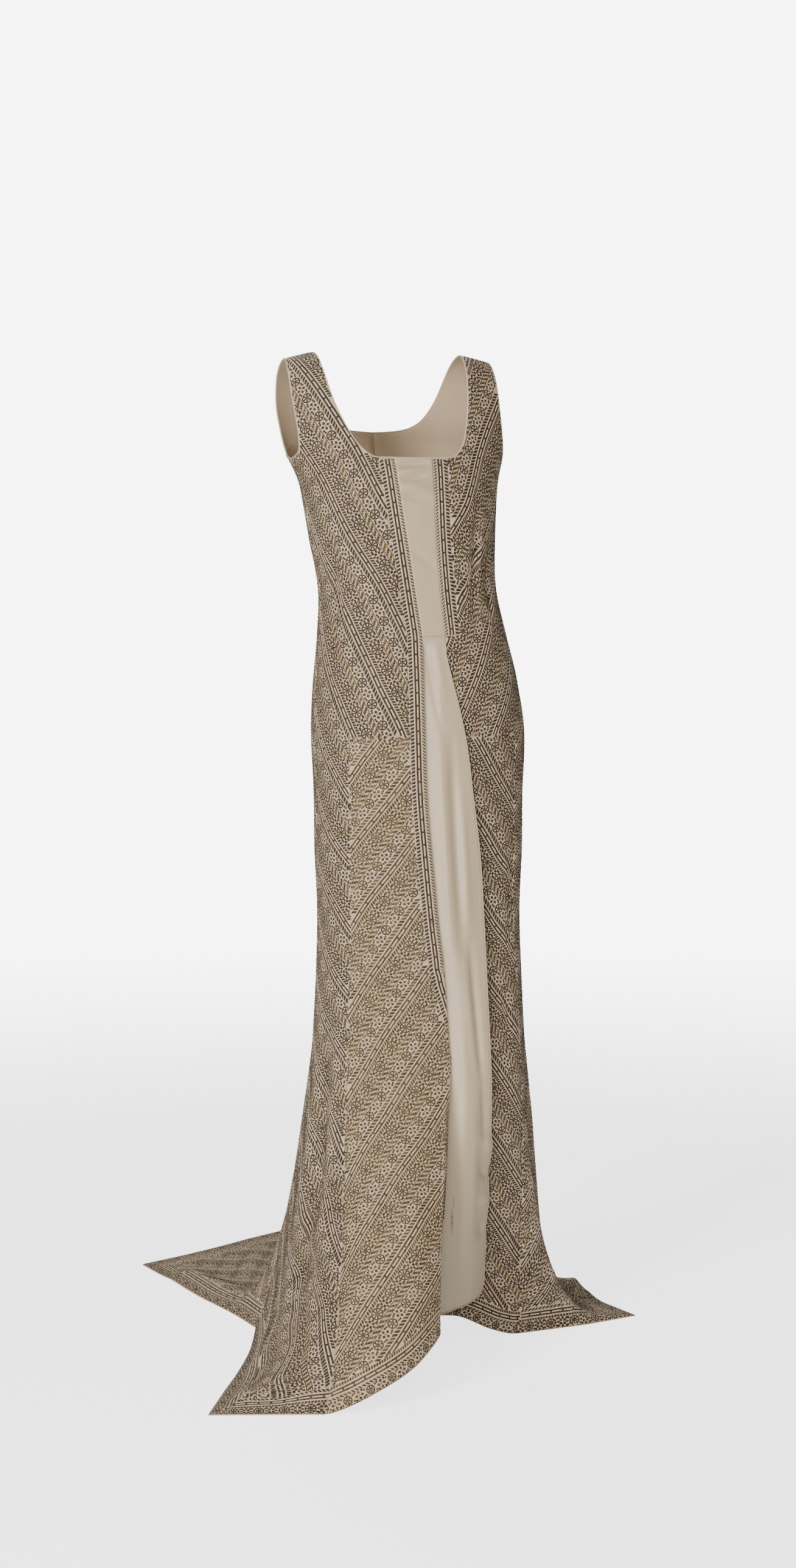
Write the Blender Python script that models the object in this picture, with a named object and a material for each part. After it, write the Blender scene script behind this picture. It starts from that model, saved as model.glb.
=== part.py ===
"""Worn evening dress: a long beaded gown with a satin front, standing in the shape that it is worn in.

Metres, +Z up. The origin is midway between the two straps, where they rest on the shoulders.
X runs to the wearer's left, Y to the back, and the hem lies on the floor below.

Every panel is a piece of one skin. A point of the skin has an angle round the figure, in degrees
from the centre front by the wearer's right (90) and the centre back (180) to the left (270), and
a drop, the distance down the cloth from the shoulder. Past the knee line the drop is
KNEE_DROP plus the share of the way from there to the hem.
"""

import math
from collections import namedtuple

import bmesh
import bpy
from mathutils import Vector

# Driving sizes
SHOULDER_HEIGHT = 1.480
BEADED_WALL = 0.0020
SATIN_WALL = 0.0015
SEAM_GAP = 0.0003
BORDER_WIDTH = 0.023
BINDING_WIDTH = 0.0026
BINDING_PROUD = 0.0004
# From the line of the edge, which leaves room where the cloth twists round the underarm
BINDING_GAP = 0.0006

# Drops of the main lines
INSERT_END = 0.460
HIP_SEAM = 0.608
KNEE_DROP = 1.070
HEM_DROP = KNEE_DROP + 1.0

# How square the figure's section is: 1 is an ellipse, and less is squarer
SQUARENESS = 0.87
# Where the shoulder starts to slope down, from the centre
SHOULDER_SLOPE_FROM = 0.116

Ring = namedtuple("Ring", "drop height centre_x half_width front back slope")
RINGS = [
    Ring(0.000, 1.480, 0.0000, 0.1900, 0.000, 0.000, 0.25),
    Ring(0.034, 1.470, 0.0000, 0.1900, 0.030, 0.033, 0.23),
    Ring(0.066, 1.447, 0.0010, 0.1880, 0.052, 0.062, 0.16),
    Ring(0.120, 1.402, 0.0040, 0.1820, 0.073, 0.088, 0.04),
    Ring(0.165, 1.359, 0.0095, 0.1715, 0.086, 0.101, 0.00),
    Ring(0.199, 1.326, 0.0140, 0.1590, 0.095, 0.104, 0.00),
    Ring(0.231, 1.295, 0.0175, 0.1480, 0.106, 0.101, 0.00),
    Ring(0.270, 1.257, 0.0195, 0.1425, 0.113, 0.094, 0.00),
    Ring(0.320, 1.208, 0.0230, 0.1375, 0.110, 0.087, 0.00),
    Ring(0.393, 1.137, 0.0305, 0.1325, 0.103, 0.083, 0.00),
    Ring(0.460, 1.071, 0.0375, 0.1405, 0.110, 0.094, 0.00),
    Ring(0.530, 1.002, 0.0440, 0.1520, 0.113, 0.114, 0.00),
    Ring(0.608, 0.924, 0.0490, 0.1590, 0.111, 0.130, 0.00),
    Ring(0.695, 0.837, 0.0500, 0.1560, 0.108, 0.133, 0.00),
    Ring(0.785, 0.747, 0.0500, 0.1550, 0.107, 0.131, 0.00),
    Ring(0.876, 0.656, 0.0500, 0.1515, 0.108, 0.130, 0.00),
    Ring(0.967, 0.565, 0.0505, 0.1540, 0.113, 0.134, 0.00),
    Ring(1.070, 0.461, 0.0500, 0.1590, 0.122, 0.145, 0.00),
]

# The satin insert between the two bead borders of the bodice
Insert = namedtuple("Insert", "drop centre_x half_width")
INSERT = [
    Insert(0.199, 0.0116, 0.0290),
    Insert(0.263, 0.0135, 0.0250),
    Insert(0.326, 0.0210, 0.0215),
    Insert(0.390, 0.0305, 0.0190),
    Insert(0.460, 0.0380, 0.0175),
]

# The front edges of the open skirt, and the free edge of the satin panel, by their X
Opening = namedtuple("Opening", "drop right_edge left_edge satin_edge")
OPENING = [
    Opening(0.460, 0.0205, 0.0555, 0.0552),
    Opening(0.485, 0.0210, 0.0556, 0.0553),
    Opening(0.510, 0.0217, 0.0556, 0.0605),
    Opening(0.608, 0.0250, 0.0556, 0.0855),
    Opening(0.695, 0.0290, 0.0550, 0.0990),
    Opening(0.785, 0.0370, 0.0520, 0.1110),
    Opening(0.876, 0.0457, 0.0495, 0.1170),
    Opening(0.967, 0.0555, 0.0470, 0.1205),
    Opening(1.070, 0.0610, 0.0450, 0.1235),
]

# Cross lines of the front bodice, each from the neck or border to the armhole or side seam.
# "across" is the distance from the ring's centre, and ON_SEAM ends the line on its seam instead:
# the bead border or the centre back at one end, and the side seam at the other
Line = namedtuple("Line", "neck_across neck_drop arm_across arm_drop")
ON_SEAM = None
FRONT_LINES = [
    Line(0.1130, 0.000, 0.1540, 0.000),
    Line(0.1120, 0.018, 0.1548, 0.018),
    Line(0.1110, 0.038, 0.1556, 0.038),
    Line(0.1090, 0.065, 0.1562, 0.062),
    Line(0.1050, 0.097, 0.1562, 0.092),
    Line(0.0990, 0.128, 0.1555, 0.124),
    Line(0.0890, 0.159, 0.1545, 0.154),
    Line(0.0795, 0.179, 0.1545, 0.177),
    Line(0.0705, 0.1905, 0.1560, 0.192),
    Line(0.0620, 0.1965, ON_SEAM, 0.200),
    Line(ON_SEAM, 0.1995, ON_SEAM, 0.220),
    Line(ON_SEAM, 0.218, ON_SEAM, 0.242),
    Line(ON_SEAM, 0.245, ON_SEAM, 0.266),
    Line(ON_SEAM, 0.278, ON_SEAM, 0.292),
    Line(ON_SEAM, 0.316, ON_SEAM, 0.322),
    Line(ON_SEAM, 0.355, ON_SEAM, 0.355),
    Line(ON_SEAM, 0.393, ON_SEAM, 0.393),
    Line(ON_SEAM, 0.428, ON_SEAM, 0.428),
    Line(ON_SEAM, INSERT_END, ON_SEAM, INSERT_END),
]
BACK_LINES = [
    Line(0.1130, 0.000, 0.1540, 0.000),
    Line(0.1115, 0.018, 0.1552, 0.018),
    Line(0.1095, 0.038, 0.1564, 0.038),
    Line(0.1055, 0.064, 0.1574, 0.062),
    Line(0.0990, 0.092, 0.1578, 0.092),
    Line(0.0890, 0.117, 0.1574, 0.124),
    Line(0.0750, 0.136, 0.1560, 0.154),
    Line(0.0580, 0.147, 0.1556, 0.177),
    Line(0.0390, 0.152, 0.1564, 0.192),
    Line(0.0195, 0.154, ON_SEAM, 0.200),
    Line(ON_SEAM, 0.155, ON_SEAM, 0.220),
    Line(ON_SEAM, 0.185, ON_SEAM, 0.242),
    Line(ON_SEAM, 0.220, ON_SEAM, 0.266),
    Line(ON_SEAM, 0.262, ON_SEAM, 0.292),
    Line(ON_SEAM, 0.308, ON_SEAM, 0.322),
    Line(ON_SEAM, 0.355, ON_SEAM, 0.355),
    Line(ON_SEAM, 0.393, ON_SEAM, 0.393),
    Line(ON_SEAM, 0.428, ON_SEAM, 0.428),
    Line(ON_SEAM, INSERT_END, ON_SEAM, INSERT_END),
]
NECK_CORNER = 10
HIP_DROPS = [INSERT_END, 0.506, 0.556, HIP_SEAM]
THIGH_DROPS = [HIP_SEAM, 0.680, 0.760, 0.845, 0.925, 1.000, KNEE_DROP]
LOWER_STEPS = 12
LOWER_DROPS = [KNEE_DROP + step / LOWER_STEPS for step in range(LOWER_STEPS + 1)]
SKIRT_DROPS = THIGH_DROPS + LOWER_DROPS[1:]

# Knee angles of the columns between the seams, on the wearer's right. The left mirrors them
INSET_ANGLES = [3.0, 11.0, 20.0, 28.5, 37.0, 46.0, 55.0]
SIDE_ANGLES = [55.0, 61.0, 66.0, 74.0, 82.0, 91.0, 100.0]
BACK_ANGLES = [100.0, 107.0, 114.0, 121.0, 128.0, 136.0, 145.0, 154.0, 163.0, 171.5, 180.0]

# Where each column comes down and ends, on the floor frame: the guide point draws the cloth
# towards the floor, and the hem point is its end
Fall = namedtuple("Fall", "angle guide_x guide_y guide_z hem_x hem_y hem_z")
RIGHT_FALLS = [
    Fall(-2.7, 0.016, -0.222, 0.200, 0.011, -0.240, 0.0890),
    Fall(3.0, -0.006, -0.240, 0.190, -0.008, -0.262, 0.0760),
    Fall(20.0, -0.045, -0.268, 0.170, -0.055, -0.290, 0.0475),
    Fall(37.0, -0.098, -0.272, 0.130, -0.120, -0.300, 0.0190),
    Fall(46.0, -0.125, -0.265, 0.100, -0.152, -0.299, 0.0070),
    Fall(55.0, -0.140, -0.250, 0.065, -0.181, -0.298, 0.0000),
    Fall(61.0, -0.152, -0.210, 0.040, -0.258, -0.275, 0.0000),
    Fall(66.0, -0.162, -0.165, 0.025, -0.335, -0.253, 0.0000),
    Fall(74.0, -0.168, -0.105, 0.018, -0.290, -0.158, 0.0000),
    Fall(82.0, -0.167, -0.045, 0.022, -0.250, -0.076, 0.0000),
    Fall(91.0, -0.160, 0.030, 0.045, -0.207, 0.025, 0.0000),
    Fall(100.0, -0.146, 0.105, 0.090, -0.171, 0.134, 0.0000),
    Fall(107.0, -0.136, 0.155, 0.045, -0.190, 0.240, 0.0000),
    Fall(114.0, -0.128, 0.190, 0.015, -0.216, 0.335, 0.0000),
    Fall(128.0, -0.108, 0.232, 0.000, -0.262, 0.550, 0.0000),
    Fall(145.0, -0.085, 0.262, 0.000, -0.150, 0.603, 0.0000),
    Fall(163.0, -0.020, 0.280, 0.000, -0.045, 0.665, 0.0000),
    Fall(180.0, 0.050, 0.288, 0.000, 0.048, 0.715, 0.0000),
]
LEFT_FALLS = [
    RIGHT_FALLS[-1],
    Fall(197.0, 0.115, 0.280, 0.000, 0.140, 0.668, 0.0000),
    Fall(215.0, 0.172, 0.264, 0.000, 0.245, 0.606, 0.0000),
    Fall(232.0, 0.220, 0.236, 0.000, 0.360, 0.548, 0.0000),
    Fall(246.0, 0.245, 0.205, 0.012, 0.313, 0.380, 0.0000),
    Fall(253.0, 0.252, 0.185, 0.035, 0.288, 0.305, 0.0000),
    Fall(260.0, 0.256, 0.165, 0.070, 0.268, 0.245, 0.0000),
    Fall(269.0, 0.262, 0.125, 0.035, 0.325, 0.218, 0.0000),
    Fall(278.0, 0.268, 0.085, 0.018, 0.376, 0.160, 0.0000),
    Fall(286.0, 0.262, 0.050, 0.016, 0.396, 0.095, 0.0000),
    Fall(294.0, 0.252, 0.018, 0.024, 0.414, 0.028, 0.0000),
    Fall(299.0, 0.236, 0.000, 0.040, 0.303, 0.000, 0.0000),
    Fall(305.0, 0.208, -0.018, 0.070, 0.205, -0.013, 0.0000),
    Fall(314.0, 0.185, -0.022, 0.100, 0.182, -0.010, 0.0050),
    Fall(323.0, 0.160, -0.026, 0.120, 0.158, -0.008, 0.0130),
    Fall(340.0, 0.115, -0.034, 0.140, 0.112, -0.014, 0.0360),
    Fall(357.6, 0.072, -0.046, 0.160, 0.070, -0.028, 0.0460),
    Fall(361.0, 0.052, -0.052, 0.170, 0.050, -0.034, 0.0500),
]
SatinFall = namedtuple("SatinFall", "share guide_x guide_y guide_z hem_x hem_y hem_z")
SATIN_FALLS = [
    SatinFall(0.00, 0.024, -0.160, 0.210, 0.020, -0.166, 0.0860),
    SatinFall(0.35, 0.062, -0.134, 0.200, 0.058, -0.136, 0.0840),
    SatinFall(0.70, 0.102, -0.100, 0.200, 0.100, -0.100, 0.0835),
    SatinFall(0.90, 0.127, -0.074, 0.200, 0.124, -0.074, 0.0880),
    SatinFall(1.00, 0.136, -0.062, 0.200, 0.133, -0.062, 0.1000),
]
# Length of cloth over which a column turns from falling to lying
TURN_LENGTH = 0.10
# Share of a column's fall over which it keeps the direction it has at the knee line
KEEP_HEADING = 0.42
# Height up to which the floor's ridges are felt
RIDGE_REACH = 0.06
FALL_SAMPLES = 24

# Long soft folds of the skirt. Depth is outward, and a hollow is negative
Fold = namedtuple("Fold", "angle spread depth from_drop full_drop")
FOLDS = [
    Fold(64.0, 5.0, 0.006, 0.90, 1.35),
    Fold(74.0, 5.0, -0.008, 0.95, 1.40),
    Fold(86.0, 6.0, 0.007, 0.90, 1.40),
    Fold(112.0, 6.0, -0.009, 0.75, 1.30),
    Fold(128.0, 7.0, 0.012, 0.75, 1.30),
    Fold(146.0, 8.0, -0.012, 0.70, 1.25),
    Fold(163.0, 7.0, 0.012, 0.70, 1.25),
    Fold(180.0, 7.0, -0.010, 0.70, 1.25),
    Fold(198.0, 7.0, 0.012, 0.70, 1.25),
    Fold(216.0, 8.0, -0.012, 0.70, 1.25),
    Fold(234.0, 7.0, 0.011, 0.75, 1.30),
    Fold(250.0, 6.0, -0.008, 0.80, 1.30),
    Fold(276.0, 6.0, 0.008, 0.90, 1.35),
    Fold(290.0, 5.0, -0.008, 0.95, 1.40),
]
# The folds run out between these heights above the floor
FOLD_HEIGHTS = (0.03, 0.25)

# Where cloth that lies on the floor is pushed up into a ridge
Ridge = namedtuple("Ridge", "from_x from_y to_x to_y height spread")
RIDGES = [
    Ridge(0.268, 0.085, 0.352, 0.150, 0.034, 0.026),
    Ridge(-0.150, 0.300, -0.205, 0.440, 0.012, 0.028),
    Ridge(0.130, 0.380, 0.190, 0.540, 0.014, 0.030),
    Ridge(-0.215, -0.150, -0.268, -0.215, 0.010, 0.022),
]

# The left front hangs further in where the satin and the right front pass over it
LEFT_TUCK = 0.012
LEFT_TUCK_ANGLES = (305.0, 338.0)
# The satin goes under the right border and over the left front
SATIN_UNDER = -0.0030
SATIN_OVER = 0.0027
SATIN_RISE = 0.024
SATIN_SETTLE = 0.022
SATIN_TUCKED = 0.012
SATIN_TUCK_DROPS = (0.485, 0.545)
SATIN_TOP_DROPS = [INSERT_END, 0.472, 0.484, 0.506, 0.530, 0.556]
SATIN_COLUMNS = 7
INSERT_COLUMNS = 4
BORDER_COLUMNS = 2

COLOURS = {
    "beaded_silk": ((0.36, 0.30, 0.23, 1.0), 0.55, 0.15),
    "satin": ((0.62, 0.54, 0.45, 1.0), 0.35, 0.0),
    "binding": ((0.70, 0.64, 0.54, 1.0), 0.45, 0.0),
}


def smooth_step(low, high, value):
    """0 below low, 1 above high, and a soft change between."""
    share = min(max((value - low) / (high - low), 0.0), 1.0)
    return share * share * (3.0 - 2.0 * share)


def mix(a, b, share):
    return a + (b - a) * share


def row_at(table, value, straight=False, level_start=()):
    """The row of a table at a value of its first column, with every column interpolated.

    The curve through the rows is smooth, or straight from row to row. A column named in
    level_start leaves the first row level.
    """
    value = min(max(value, table[0][0]), table[-1][0])
    below = max(i for i in range(len(table) - 1) if table[i][0] <= value)
    low, high = table[below], table[below + 1]
    span = high[0] - low[0]
    share = (value - low[0]) / span
    if straight:
        return type(low)(*(mix(a, b, share) for a, b in zip(low, high)))
    before = table[max(below - 1, 0)]
    after = table[min(below + 2, len(table) - 1)]
    made = []
    for name, a, b, c, d in zip(low._fields, before, low, high, after):
        start = (c - a) / (high[0] - before[0]) * span
        end = (d - b) / (after[0] - low[0]) * span
        if below == 0 and name in level_start:
            start = 0.0
        cubic = (2 * share**3 - 3 * share**2 + 1) * b + (share**3 - 2 * share**2 + share) * start
        cubic += (3 * share**2 - 2 * share**3) * c + (share**3 - share**2) * end
        made.append(cubic)
    made[0] = value
    return type(low)(*made)


def ring_at(drop):
    return row_at(RINGS, drop, level_start=("height",))


def signed_power(value, power):
    return math.copysign(abs(value) ** power, value)


def ring_point(angle, drop):
    """A point of the worn skin between the shoulder and the knee line."""
    ring = ring_at(drop)
    turn = math.radians(angle)
    across = -ring.half_width * signed_power(math.sin(turn), SQUARENESS)
    depth = ring.front if math.cos(turn) > 0 else ring.back
    y = -depth * signed_power(math.cos(turn), SQUARENESS)
    z = ring.height - ring.slope * max(abs(across) - SHOULDER_SLOPE_FROM, 0.0)
    point = Vector((ring.centre_x + across, y, z))
    outward = Vector((across / ring.half_width**2, y / max(depth, 0.01) ** 2, 0.0))
    if outward.length > 0:
        point += outward.normalized() * fold_depth(angle, drop)
    return point


def fold_depth(angle, drop):
    """How far the skin stands out or in at its long folds."""
    depth = 0.0
    for fold in FOLDS:
        away = (angle - fold.angle) / fold.spread
        depth += fold.depth * math.exp(-away * away) * smooth_step(fold.from_drop, fold.full_drop, drop)
    return depth


def angle_of_x(x, drop, left=False):
    """The angle at which the front of the ring has this X. The left family counts from 360."""
    ring = ring_at(drop)
    across = (ring.centre_x - x) / ring.half_width
    angle = math.degrees(math.asin(signed_power(min(max(across, -1.0), 1.0), 1.0 / SQUARENESS)))
    return 360.0 + angle if left else angle


def across_angle(across, drop):
    """The front angle at this distance from the ring's centre."""
    return angle_of_x(ring_at(drop).centre_x - across, drop)


def fall_path(start, heading, guide, hem):
    """Points down a column from the knee line to the hem: a curve in, then straight along the floor."""
    guide = Vector(guide)
    hem = Vector(hem)
    lying = hem - guide
    landing = guide + lying * min(1.0, TURN_LENGTH / max(lying.length, 1e-6))
    second = start + heading * (guide - start).length * KEEP_HEADING
    points = []
    for i in range(FALL_SAMPLES + 1):
        t = i / FALL_SAMPLES
        s = 1.0 - t
        points.append(start * s**3 + second * (3 * s * s * t) + guide * (3 * s * t * t) + landing * t**3)
    points.append(hem)
    return points


def along_path(points, share):
    """The point at a share of a path's length."""
    lengths = [(b - a).length for a, b in zip(points, points[1:])]
    wanted = share * sum(lengths)
    for a, b, length in zip(points, points[1:], lengths):
        if wanted <= length:
            return a.lerp(b, wanted / length) if length > 0 else a.copy()
        wanted -= length
    return points[-1].copy()


def on_floor(point, wall):
    """Keeps a point at least one wall above the floor, and lifts it over the floor's ridges."""
    nearness = 1.0 - smooth_step(0.0, RIDGE_REACH, point.z)
    lift = 0.0
    for ridge in RIDGES:
        start = Vector((ridge.from_x, ridge.from_y))
        run = Vector((ridge.to_x, ridge.to_y)) - start
        flat = Vector((point.x, point.y)) - start
        share = min(max(flat.dot(run) / run.length_squared, 0.0), 1.0)
        away = (flat - run * share).length / ridge.spread
        lift += ridge.height * math.exp(-away * away)
    point.z = max(point.z, wall) + lift * nearness
    return point


def beaded_skin(falls, tuck):
    """The skin function of one side: a point for an angle and a drop, in the floor frame."""

    def upper(angle, drop):
        point = ring_point(angle, drop)
        inward = tuck(angle, drop)
        if inward > 0:
            point.y += inward
        return point

    def skin(angle, drop):
        if drop <= KNEE_DROP:
            return upper(angle, drop)
        start = upper(angle, KNEE_DROP)
        heading = (start - upper(angle, KNEE_DROP - 0.02)).normalized()
        curved = row_at(falls, angle)
        straight = row_at(falls, angle, straight=True)
        point = along_path(fall_path(start, heading, curved[1:4], straight[4:7]), drop - KNEE_DROP)
        outward = Vector((start.x - ring_at(KNEE_DROP).centre_x, start.y, 0.0)).normalized()
        deeper = fold_depth(angle, drop) - fold_depth(angle, KNEE_DROP)
        point += outward * deeper * smooth_step(*FOLD_HEIGHTS, point.z)
        return on_floor(point, BEADED_WALL)

    return skin


def no_tuck(angle, drop):
    return 0.0


def left_tuck(angle, drop):
    return LEFT_TUCK * smooth_step(INSERT_END, KNEE_DROP, drop) * smooth_step(*LEFT_TUCK_ANGLES, angle)


right_skin = beaded_skin(RIGHT_FALLS, no_tuck)
left_skin = beaded_skin(LEFT_FALLS, left_tuck)


def satin_upper(share, drop):
    """The satin panel above the knee line, by the share of its width from the wearer's right."""
    opening = row_at(OPENING, drop)
    tucked = SATIN_TUCKED * smooth_step(*SATIN_TUCK_DROPS, drop)
    near = opening.right_edge + SEAM_GAP - tucked
    far = opening.satin_edge - SEAM_GAP
    x = mix(near, far, share)
    angle = angle_of_x(x, drop)
    normal = normal_of(right_skin, angle, drop)
    risen = smooth_step(opening.right_edge, opening.right_edge + SATIN_RISE, x)
    settled = smooth_step(INSERT_END, INSERT_END + SATIN_SETTLE, drop)
    return right_skin(angle, drop) + normal * mix(SATIN_UNDER, SATIN_OVER, risen) * settled


def satin_skin(share, drop):
    if drop <= KNEE_DROP:
        return satin_upper(share, drop)
    start = satin_upper(share, KNEE_DROP)
    heading = (start - satin_upper(share, KNEE_DROP - 0.02)).normalized()
    fall = row_at(SATIN_FALLS, share)
    guide = Vector(fall[1:4])
    hem = Vector(fall[4:7])
    return along_path(fall_path(start, heading, guide, hem), drop - KNEE_DROP)


def normal_of(skin, place, drop, place_step=0.4, drop_step=0.004):
    """The outward normal of a skin, from small steps round and down it."""
    high = min(drop + drop_step, HEM_DROP)
    low = max(drop - drop_step, 0.0)
    round_it = skin(place + place_step, drop) - skin(place - place_step, drop)
    down_it = skin(place, high) - skin(place, low)
    normal = round_it.cross(down_it)
    return normal.normalized()


def satin_normal(share, drop):
    """Shares run the other way round from angles, and stay inside 0 and 1."""
    step = 0.02
    high = min(drop + 0.004, HEM_DROP)
    round_it = satin_skin(max(share - step, 0.0), drop) - satin_skin(min(share + step, 1.0), drop)
    down_it = satin_skin(share, high) - satin_skin(share, max(drop - 0.004, INSERT_END))
    return round_it.cross(down_it).normalized()


def material_named(name):
    material = bpy.data.materials.new(name)
    material.use_nodes = True
    colour, roughness, metallic = COLOURS[name]
    shader = material.node_tree.nodes["Principled BSDF"]
    shader.inputs["Base Color"].default_value = colour
    shader.inputs["Roughness"].default_value = roughness
    shader.inputs["Metallic"].default_value = metallic
    return material


def lay_grid(bm, out, places, skin, normal):
    """Adds a flat grid and moves its points onto the skin. places[row][column] is (place, drop)."""
    rows = len(places)
    columns = len(places[0])
    made = bmesh.ops.create_grid(bm, x_segments=columns - 1, y_segments=rows - 1, size=0.5)
    for vert in made["verts"]:
        column = round((vert.co.x + 0.5) * (columns - 1))
        row = round((vert.co.y + 0.5) * (rows - 1))
        place, drop = places[row][column]
        vert.co = skin(place, drop)
        vert[out] = normal(place, drop)


def draw_in_edges(bm, distance):
    """Moves the sheet's edge points in along the sheet, to leave a gap at each seam."""
    moves = {}
    for vert in bm.verts:
        edges = [edge for edge in vert.link_edges if edge.is_boundary]
        inward = []
        for edge in edges:
            face = edge.link_faces[0]
            along = (edge.verts[1].co - edge.verts[0].co).normalized()
            towards = face.calc_center_median() - edge.verts[0].co
            inward.append((towards - along * towards.dot(along)).normalized())
        if inward:
            middle = sum(inward, Vector()).normalized()
            reach = distance / max(middle.dot(inward[0]), 0.4)
            moves[vert] = middle * reach
    for vert, move in moves.items():
        vert.co += move


def finish_panel(bm, out, name, wall, material):
    """Joins the grids, leaves the seam gap, gives the sheet its wall and makes the object."""
    bmesh.ops.remove_doubles(bm, verts=bm.verts[:], dist=1e-5)
    draw_in_edges(bm, SEAM_GAP / 2)
    grown = bmesh.ops.extrude_face_region(bm, geom=bm.faces[:])
    for item in grown["geom"]:
        if isinstance(item, bmesh.types.BMVert):
            item.co -= item[out] * wall
    place_object(bm, name, material)


def place_object(bm, name, material):
    """Makes the object, with the floor frame's height brought to the shoulder."""
    bmesh.ops.recalc_face_normals(bm, faces=bm.faces[:])
    bmesh.ops.translate(bm, verts=bm.verts[:], vec=(0.0, 0.0, -SHOULDER_HEIGHT))
    mesh = bpy.data.meshes.new(name)
    bm.to_mesh(mesh)
    bm.free()
    mesh.shade_smooth()
    mesh.set_sharp_from_angle(angle=math.radians(50))
    mesh.materials.append(material)
    made = bpy.data.objects.new(name, mesh)
    bpy.context.scene.collection.objects.link(made)


def new_sheet():
    bm = bmesh.new()
    return bm, bm.verts.layers.float_vector.new("out")


def border_angle(drop):
    """Outer edge of the right border."""
    if drop < INSERT_END:
        insert = row_at(INSERT, drop)
        x = insert.centre_x - insert.half_width - BORDER_WIDTH
    else:
        x = row_at(OPENING, min(drop, KNEE_DROP)).right_edge - BORDER_WIDTH
    return angle_of_x(x, min(drop, KNEE_DROP))


def border_inner_angle(drop):
    """Edge of the right border beside the satin, and of the open right front below it."""
    if drop < INSERT_END:
        insert = row_at(INSERT, drop)
        return angle_of_x(insert.centre_x - insert.half_width, drop)
    return angle_of_x(row_at(OPENING, min(drop, KNEE_DROP)).right_edge, min(drop, KNEE_DROP))


def left_border_angle(drop):
    """Outer edge of the left border, as an angle on the left."""
    insert = row_at(INSERT, drop)
    return angle_of_x(insert.centre_x + insert.half_width + BORDER_WIDTH, drop, left=True)


def left_border_inner_angle(drop):
    insert = row_at(INSERT, drop)
    return angle_of_x(insert.centre_x + insert.half_width, drop, left=True)


def left_border_row(drop):
    """The left border's points at a drop, from its outer edge to its inner one."""
    outer = (left_border_angle(drop), drop)
    return between(outer, (left_border_inner_angle(drop), drop), BORDER_COLUMNS)


def left_edge_angle(drop):
    """Front edge of the left front, under the satin."""
    return angle_of_x(row_at(OPENING, min(drop, KNEE_DROP)).left_edge, min(drop, KNEE_DROP), left=True)


def line_ends(line, neck_seam, back=False):
    """Both ends of a bodice line as (angle, drop), on the wearer's right."""
    if line.neck_across is ON_SEAM:
        neck = neck_seam(line.neck_drop)
    else:
        neck = across_angle(line.neck_across, line.neck_drop)
        neck = 180.0 - neck if back else neck
    if line.arm_across is ON_SEAM:
        arm = 90.0
    else:
        arm = across_angle(line.arm_across, line.arm_drop)
        arm = 180.0 - arm if back else arm
    return (neck, line.neck_drop), (arm, line.arm_drop)


def between(start, end, count):
    """count + 1 places evenly from start to end, each (angle, drop)."""
    shares = [i / count for i in range(count + 1)]
    return [(mix(start[0], end[0], s), mix(start[1], end[1], s)) for s in shares]


def bodice_places(lines, neck_seam, columns, back=False):
    return [between(*line_ends(line, neck_seam, back), columns) for line in lines]


def skirt_places(hip_angles, knee_angles, drops):
    """Rows below the hip, whose columns move from their hip angles to their knee angles."""
    rows = []
    for drop in drops:
        share = smooth_step(HIP_SEAM, KNEE_DROP, drop)
        rows.append([(mix(a, b, share), drop) for a, b in zip(hip_angles, knee_angles)])
    return rows


def mirrored(places):
    """The same places on the wearer's left."""
    return [[(360.0 - angle, drop) for angle, drop in row] for row in places]


FRONT_COLUMNS = len(INSET_ANGLES) + len(SIDE_ANGLES) - 2
INSET_COLUMNS = len(INSET_ANGLES) - 1
BACK_COLUMNS = len(BACK_ANGLES) - 1


def hip_row(neck_angle):
    """Angles of the front columns on the hip seam, from the border to the side seam."""
    return [place[0] for place in between((neck_angle, 0.0), (90.0, 0.0), FRONT_COLUMNS)]


def left_neck_seam(drop):
    """The left border's outer edge, mirrored onto the right so that both fronts share one table."""
    return 360.0 - left_border_angle(drop)


def left_hip_neck(drop):
    """The same edge below the insert, where it runs on under the satin to the hip seam."""
    x = row_at(OPENING, drop).left_edge + BORDER_WIDTH
    return 360.0 - angle_of_x(x, drop, left=True)


def make_front_right(material):
    """Bodice front with its strap, cut in one with the side of the skirt."""
    bm, out = new_sheet()
    normal = skin_normal(right_skin)
    lay_grid(bm, out, bodice_places(FRONT_LINES, border_angle, FRONT_COLUMNS), right_skin, normal)
    hips = [between((border_angle(drop), drop), (90.0, drop), FRONT_COLUMNS) for drop in HIP_DROPS]
    lay_grid(bm, out, hips, right_skin, normal)
    side = skirt_places(hip_row(border_angle(HIP_SEAM))[INSET_COLUMNS:], SIDE_ANGLES, SKIRT_DROPS)
    lay_grid(bm, out, side, right_skin, normal)
    finish_panel(bm, out, "front_right", BEADED_WALL, material)


def make_front_left(material):
    """The left front. Under the satin it reaches in to its own front edge."""
    bm, out = new_sheet()
    normal = skin_normal(left_skin)
    bodice = mirrored(bodice_places(FRONT_LINES, left_neck_seam, FRONT_COLUMNS))
    lay_grid(bm, out, bodice, left_skin, normal)
    hips = [between((left_hip_neck(drop), drop), (90.0, drop), FRONT_COLUMNS) for drop in HIP_DROPS]
    lay_grid(bm, out, mirrored(hips), left_skin, normal)
    strip = []
    for drop in HIP_DROPS:
        outer = (360.0 - left_hip_neck(drop), drop)
        strip.append(between(outer, (left_edge_angle(drop), drop), BORDER_COLUMNS))
    lay_grid(bm, out, strip, left_skin, normal)
    hip_angles = hip_row(left_hip_neck(HIP_SEAM))[INSET_COLUMNS:]
    side = mirrored(skirt_places(hip_angles, SIDE_ANGLES, SKIRT_DROPS))
    lay_grid(bm, out, side, left_skin, normal)
    finish_panel(bm, out, "front_left", BEADED_WALL, material)


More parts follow.
